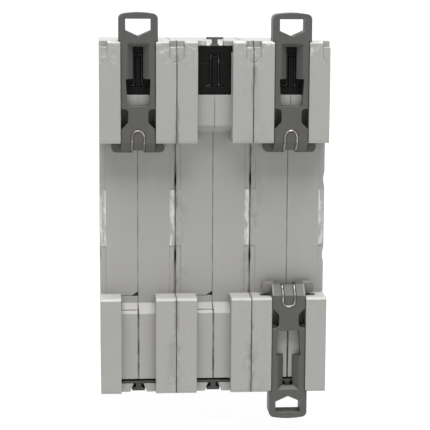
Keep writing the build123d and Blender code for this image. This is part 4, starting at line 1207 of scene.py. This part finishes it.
class BREAKER_OT_grip(Step, bpy.types.Operator):
    """Rib the toggle bar and ink the on and off marks"""

    bl_idname = "breaker.grip"
    bl_label = "Grip and marks"

    def execute(self, context):
        look = context.scene.breaker_grip
        rest = radians(joint_limit("handle_swing")) / 2
        pivot = Vector(next(row for row in frame["joints"] if row["name"] == "handle_swing")["pos_m"])
        turn = Matrix.Rotation(rest, 3, "X").to_euler()
        self.ribs(look, pivot, rest, turn)
        self.marks(look, pivot, rest, turn)
        return {"FINISHED"}

    def ribs(self, look, pivot, rest, turn):
        """Ribs along the top and the bottom of the bar."""
        level = level_points("toggle_tie_bar", pivot, rest)
        low = [min(p[i] for p in level) for i in range(3)]
        high = [max(p[i] for p in level) for i in range(3)]
        reach = (high[0] - low[0]) / 2 - look.rib_inset
        start = (low[1] + high[1]) / 2 - look.rib_pitch * (look.rib_rows - 1) / 2
        sides = 8
        angles = [2 * pi * i / sides for i in range(sides)]
        across, deep = look.rib_radius, look.rib_radius * look.rib_flat
        ring = [(start + across * cos(a), low[2] + deep * sin(a)) for a in angles]
        points = [(x, y, z) for x in (-reach, reach) for y, z in ring]
        faces = [tuple(range(sides)), tuple(range(2 * sides - 1, sides - 1, -1))]
        faces += [(i, (i + 1) % sides, sides + (i + 1) % sides, sides + i) for i in range(sides)]
        repeated(
            "bar_ribs", closed_mesh("rib", points, faces), look.rib_rows, Vector((0, look.rib_pitch, 0)), 2,
            Vector((0, 0, high[2] - low[2])), turn, pivot, "toggle_plastic", "handle")

    def marks(self, look, pivot, rest, turn):
        """A ring and a bar in white ink on each hub."""
        level = level_points("toggle_2", pivot, rest)
        hub = max((p.y ** 2 + p.z ** 2) ** 0.5 for p in level if abs(p.z) > look.lever_clear)
        facets, parts = 40, 10
        angles = [2 * pi * i / facets for i in range(facets)]
        radii = (look.ring_radius, look.ring_radius - look.stroke)
        ring = [[(r * cos(a), r * sin(a)) for a in angles] for r in radii]
        half = look.stroke / 2
        rows = [look.bar_half * (1 - 2 * i / parts) for i in range(parts + 1)]
        bar = [[(half, s) for s in rows], [(-half, s) for s in rows]]
        points, faces = [], []
        for loops, tilt, closed in ((ring, look.mark_turn, True), (bar, -look.mark_turn, False)):
            size = len(loops[0])
            base = len(points)
            for radius in (hub + look.mark_rise, hub - look.mark_root):
                for x, s in loops[0] + loops[1]:
                    angle = tilt + s / hub
                    points.append((x, -radius * cos(angle), radius * sin(angle)))
            starts = [base, base + size, base + 3 * size, base + 2 * size]
            for i in range(size if closed else size - 1):
                j = (i + 1) % size
                faces += [(a + i, a + j, b + j, b + i) for a, b in zip(starts, starts[1:] + starts[:1])]
            if not closed:
                faces += [tuple(start + i for start in starts) for i in (0, size - 1)]
        shift = Vector((min(pole_x(1), pole_x(3)), 0, 0))
        spacing = Vector((abs(pole_step().x), 0, 0))
        repeated(
            "toggle_marks", closed_mesh("mark", points, faces), len(poles), spacing, 1, Vector(), turn,
            pivot + shift, "mark_ink", "handle")


def level_points(node, pivot, rest):
    """A node's points about a pivot, turned back to the lever's level."""
    back = Matrix.Rotation(-rest, 3, "X")
    return [back @ (vert.co - pivot) for vert in nodes[node].data.vertices]


class BREAKER_OT_stage(Step, bpy.types.Operator):
    """Set the floor, the lights and the camera"""

    bl_idname = "breaker.stage"
    bl_label = "Stage"

    def execute(self, context):
        look = context.scene.breaker_stage
        scene = context.scene
        floor = floor_sheet(look, cad_box[0][2] - look.floor_drop)
        light("top_light", look.top_power, look.top_size, look.top_place)
        light("key_light", look.key_power, look.key_size, look.key_place)
        world = bpy.data.worlds.new("even light")
        world.use_nodes = True
        world.node_tree.nodes["Background"].inputs[0].default_value = (1, 1, 1, 1)
        world.node_tree.nodes["Background"].inputs[1].default_value = look.sky
        scene.world = world
        data = bpy.data.cameras.new("photo_camera")
        data.lens = look.lens
        data.clip_start = 0.01
        camera = linked("photo_camera", data)
        camera.location = look.camera_place
        camera.rotation_euler = look.camera_turn
        scene.camera = camera
        scene.view_settings.view_transform = "Standard"
        return {"FINISHED"}


def floor_sheet(look, height):
    """A floor that turns up into a backdrop in a wide curve."""
    rows = [(look.floor_reach * 2, height), (-look.backdrop, height)]
    bend = look.backdrop * 0.8
    turns = [pi / 24 * i for i in range(1, 13)]
    rows += [(-look.backdrop - bend * sin(a), height + bend * (1 - cos(a))) for a in turns]
    rows.append((-look.backdrop - bend, height + look.floor_reach * 2))
    points = [(side * look.floor_reach * 2, y, z) for y, z in rows for side in (-1, 1)]
    faces = [(2 * i, 2 * i + 1, 2 * i + 3, 2 * i + 2) for i in range(len(rows) - 1)]
    mesh = bpy.data.meshes.new("floor")
    mesh.from_pydata(points, [], faces)
    for face in mesh.polygons:
        face.use_smooth = True
    mesh.materials.append(paper(look))
    return linked("floor", mesh)


def light(name, power, size, spot):
    """A soft square light that faces the origin."""
    data = bpy.data.lights.new(name, "AREA")
    data.energy = power
    data.size = size
    lamp = linked(name, data)
    lamp.location = spot
    lamp.rotation_euler = (-Vector(spot)).to_track_quat("-Z", "Y").to_euler()


OPERATORS = (
    BREAKER_OT_finishes, BREAKER_OT_coils, BREAKER_OT_springs, BREAKER_OT_braids, BREAKER_OT_screws,
    BREAKER_OT_rivets, BREAKER_OT_keys, BREAKER_OT_grip, BREAKER_OT_stage,
)


class BREAKER_PT_dress(bpy.types.Panel):
    """Lists the sizes, colours and steps"""

    bl_idname = "BREAKER_PT_dress"
    bl_label = "Breaker"
    bl_space_type = "VIEW_3D"
    bl_region_type = "UI"
    bl_category = "Breaker"

    def draw(self, context):
        for name, group in GROUPS:
            box = self.layout.box()
            box.label(text=group.__doc__)
            for key in group.__annotations__:
                box.prop(getattr(context.scene, name), key)
        for operator in OPERATORS:
            self.layout.operator(operator.bl_idname)


def register():
    """Register the groups, the operators and the panel."""
    for name, group in GROUPS:
        bpy.utils.register_class(group)
        setattr(bpy.types.Scene, name, bpy.props.PointerProperty(type=group))
    for operator in OPERATORS:
        bpy.utils.register_class(operator)
    bpy.utils.register_class(BREAKER_PT_dress)


def unregister():
    """Take them away again."""
    bpy.utils.unregister_class(BREAKER_PT_dress)
    for operator in reversed(OPERATORS):
        bpy.utils.unregister_class(operator)
    for name, group in reversed(GROUPS):
        delattr(bpy.types.Scene, name)
        bpy.utils.unregister_class(group)


def main():
    """Dress the breaker."""
    register()
    for operator in OPERATORS:
        group, step = operator.bl_idname.split(".")
        getattr(getattr(bpy.ops, group), step)()


if __name__ == "__main__":
    main()
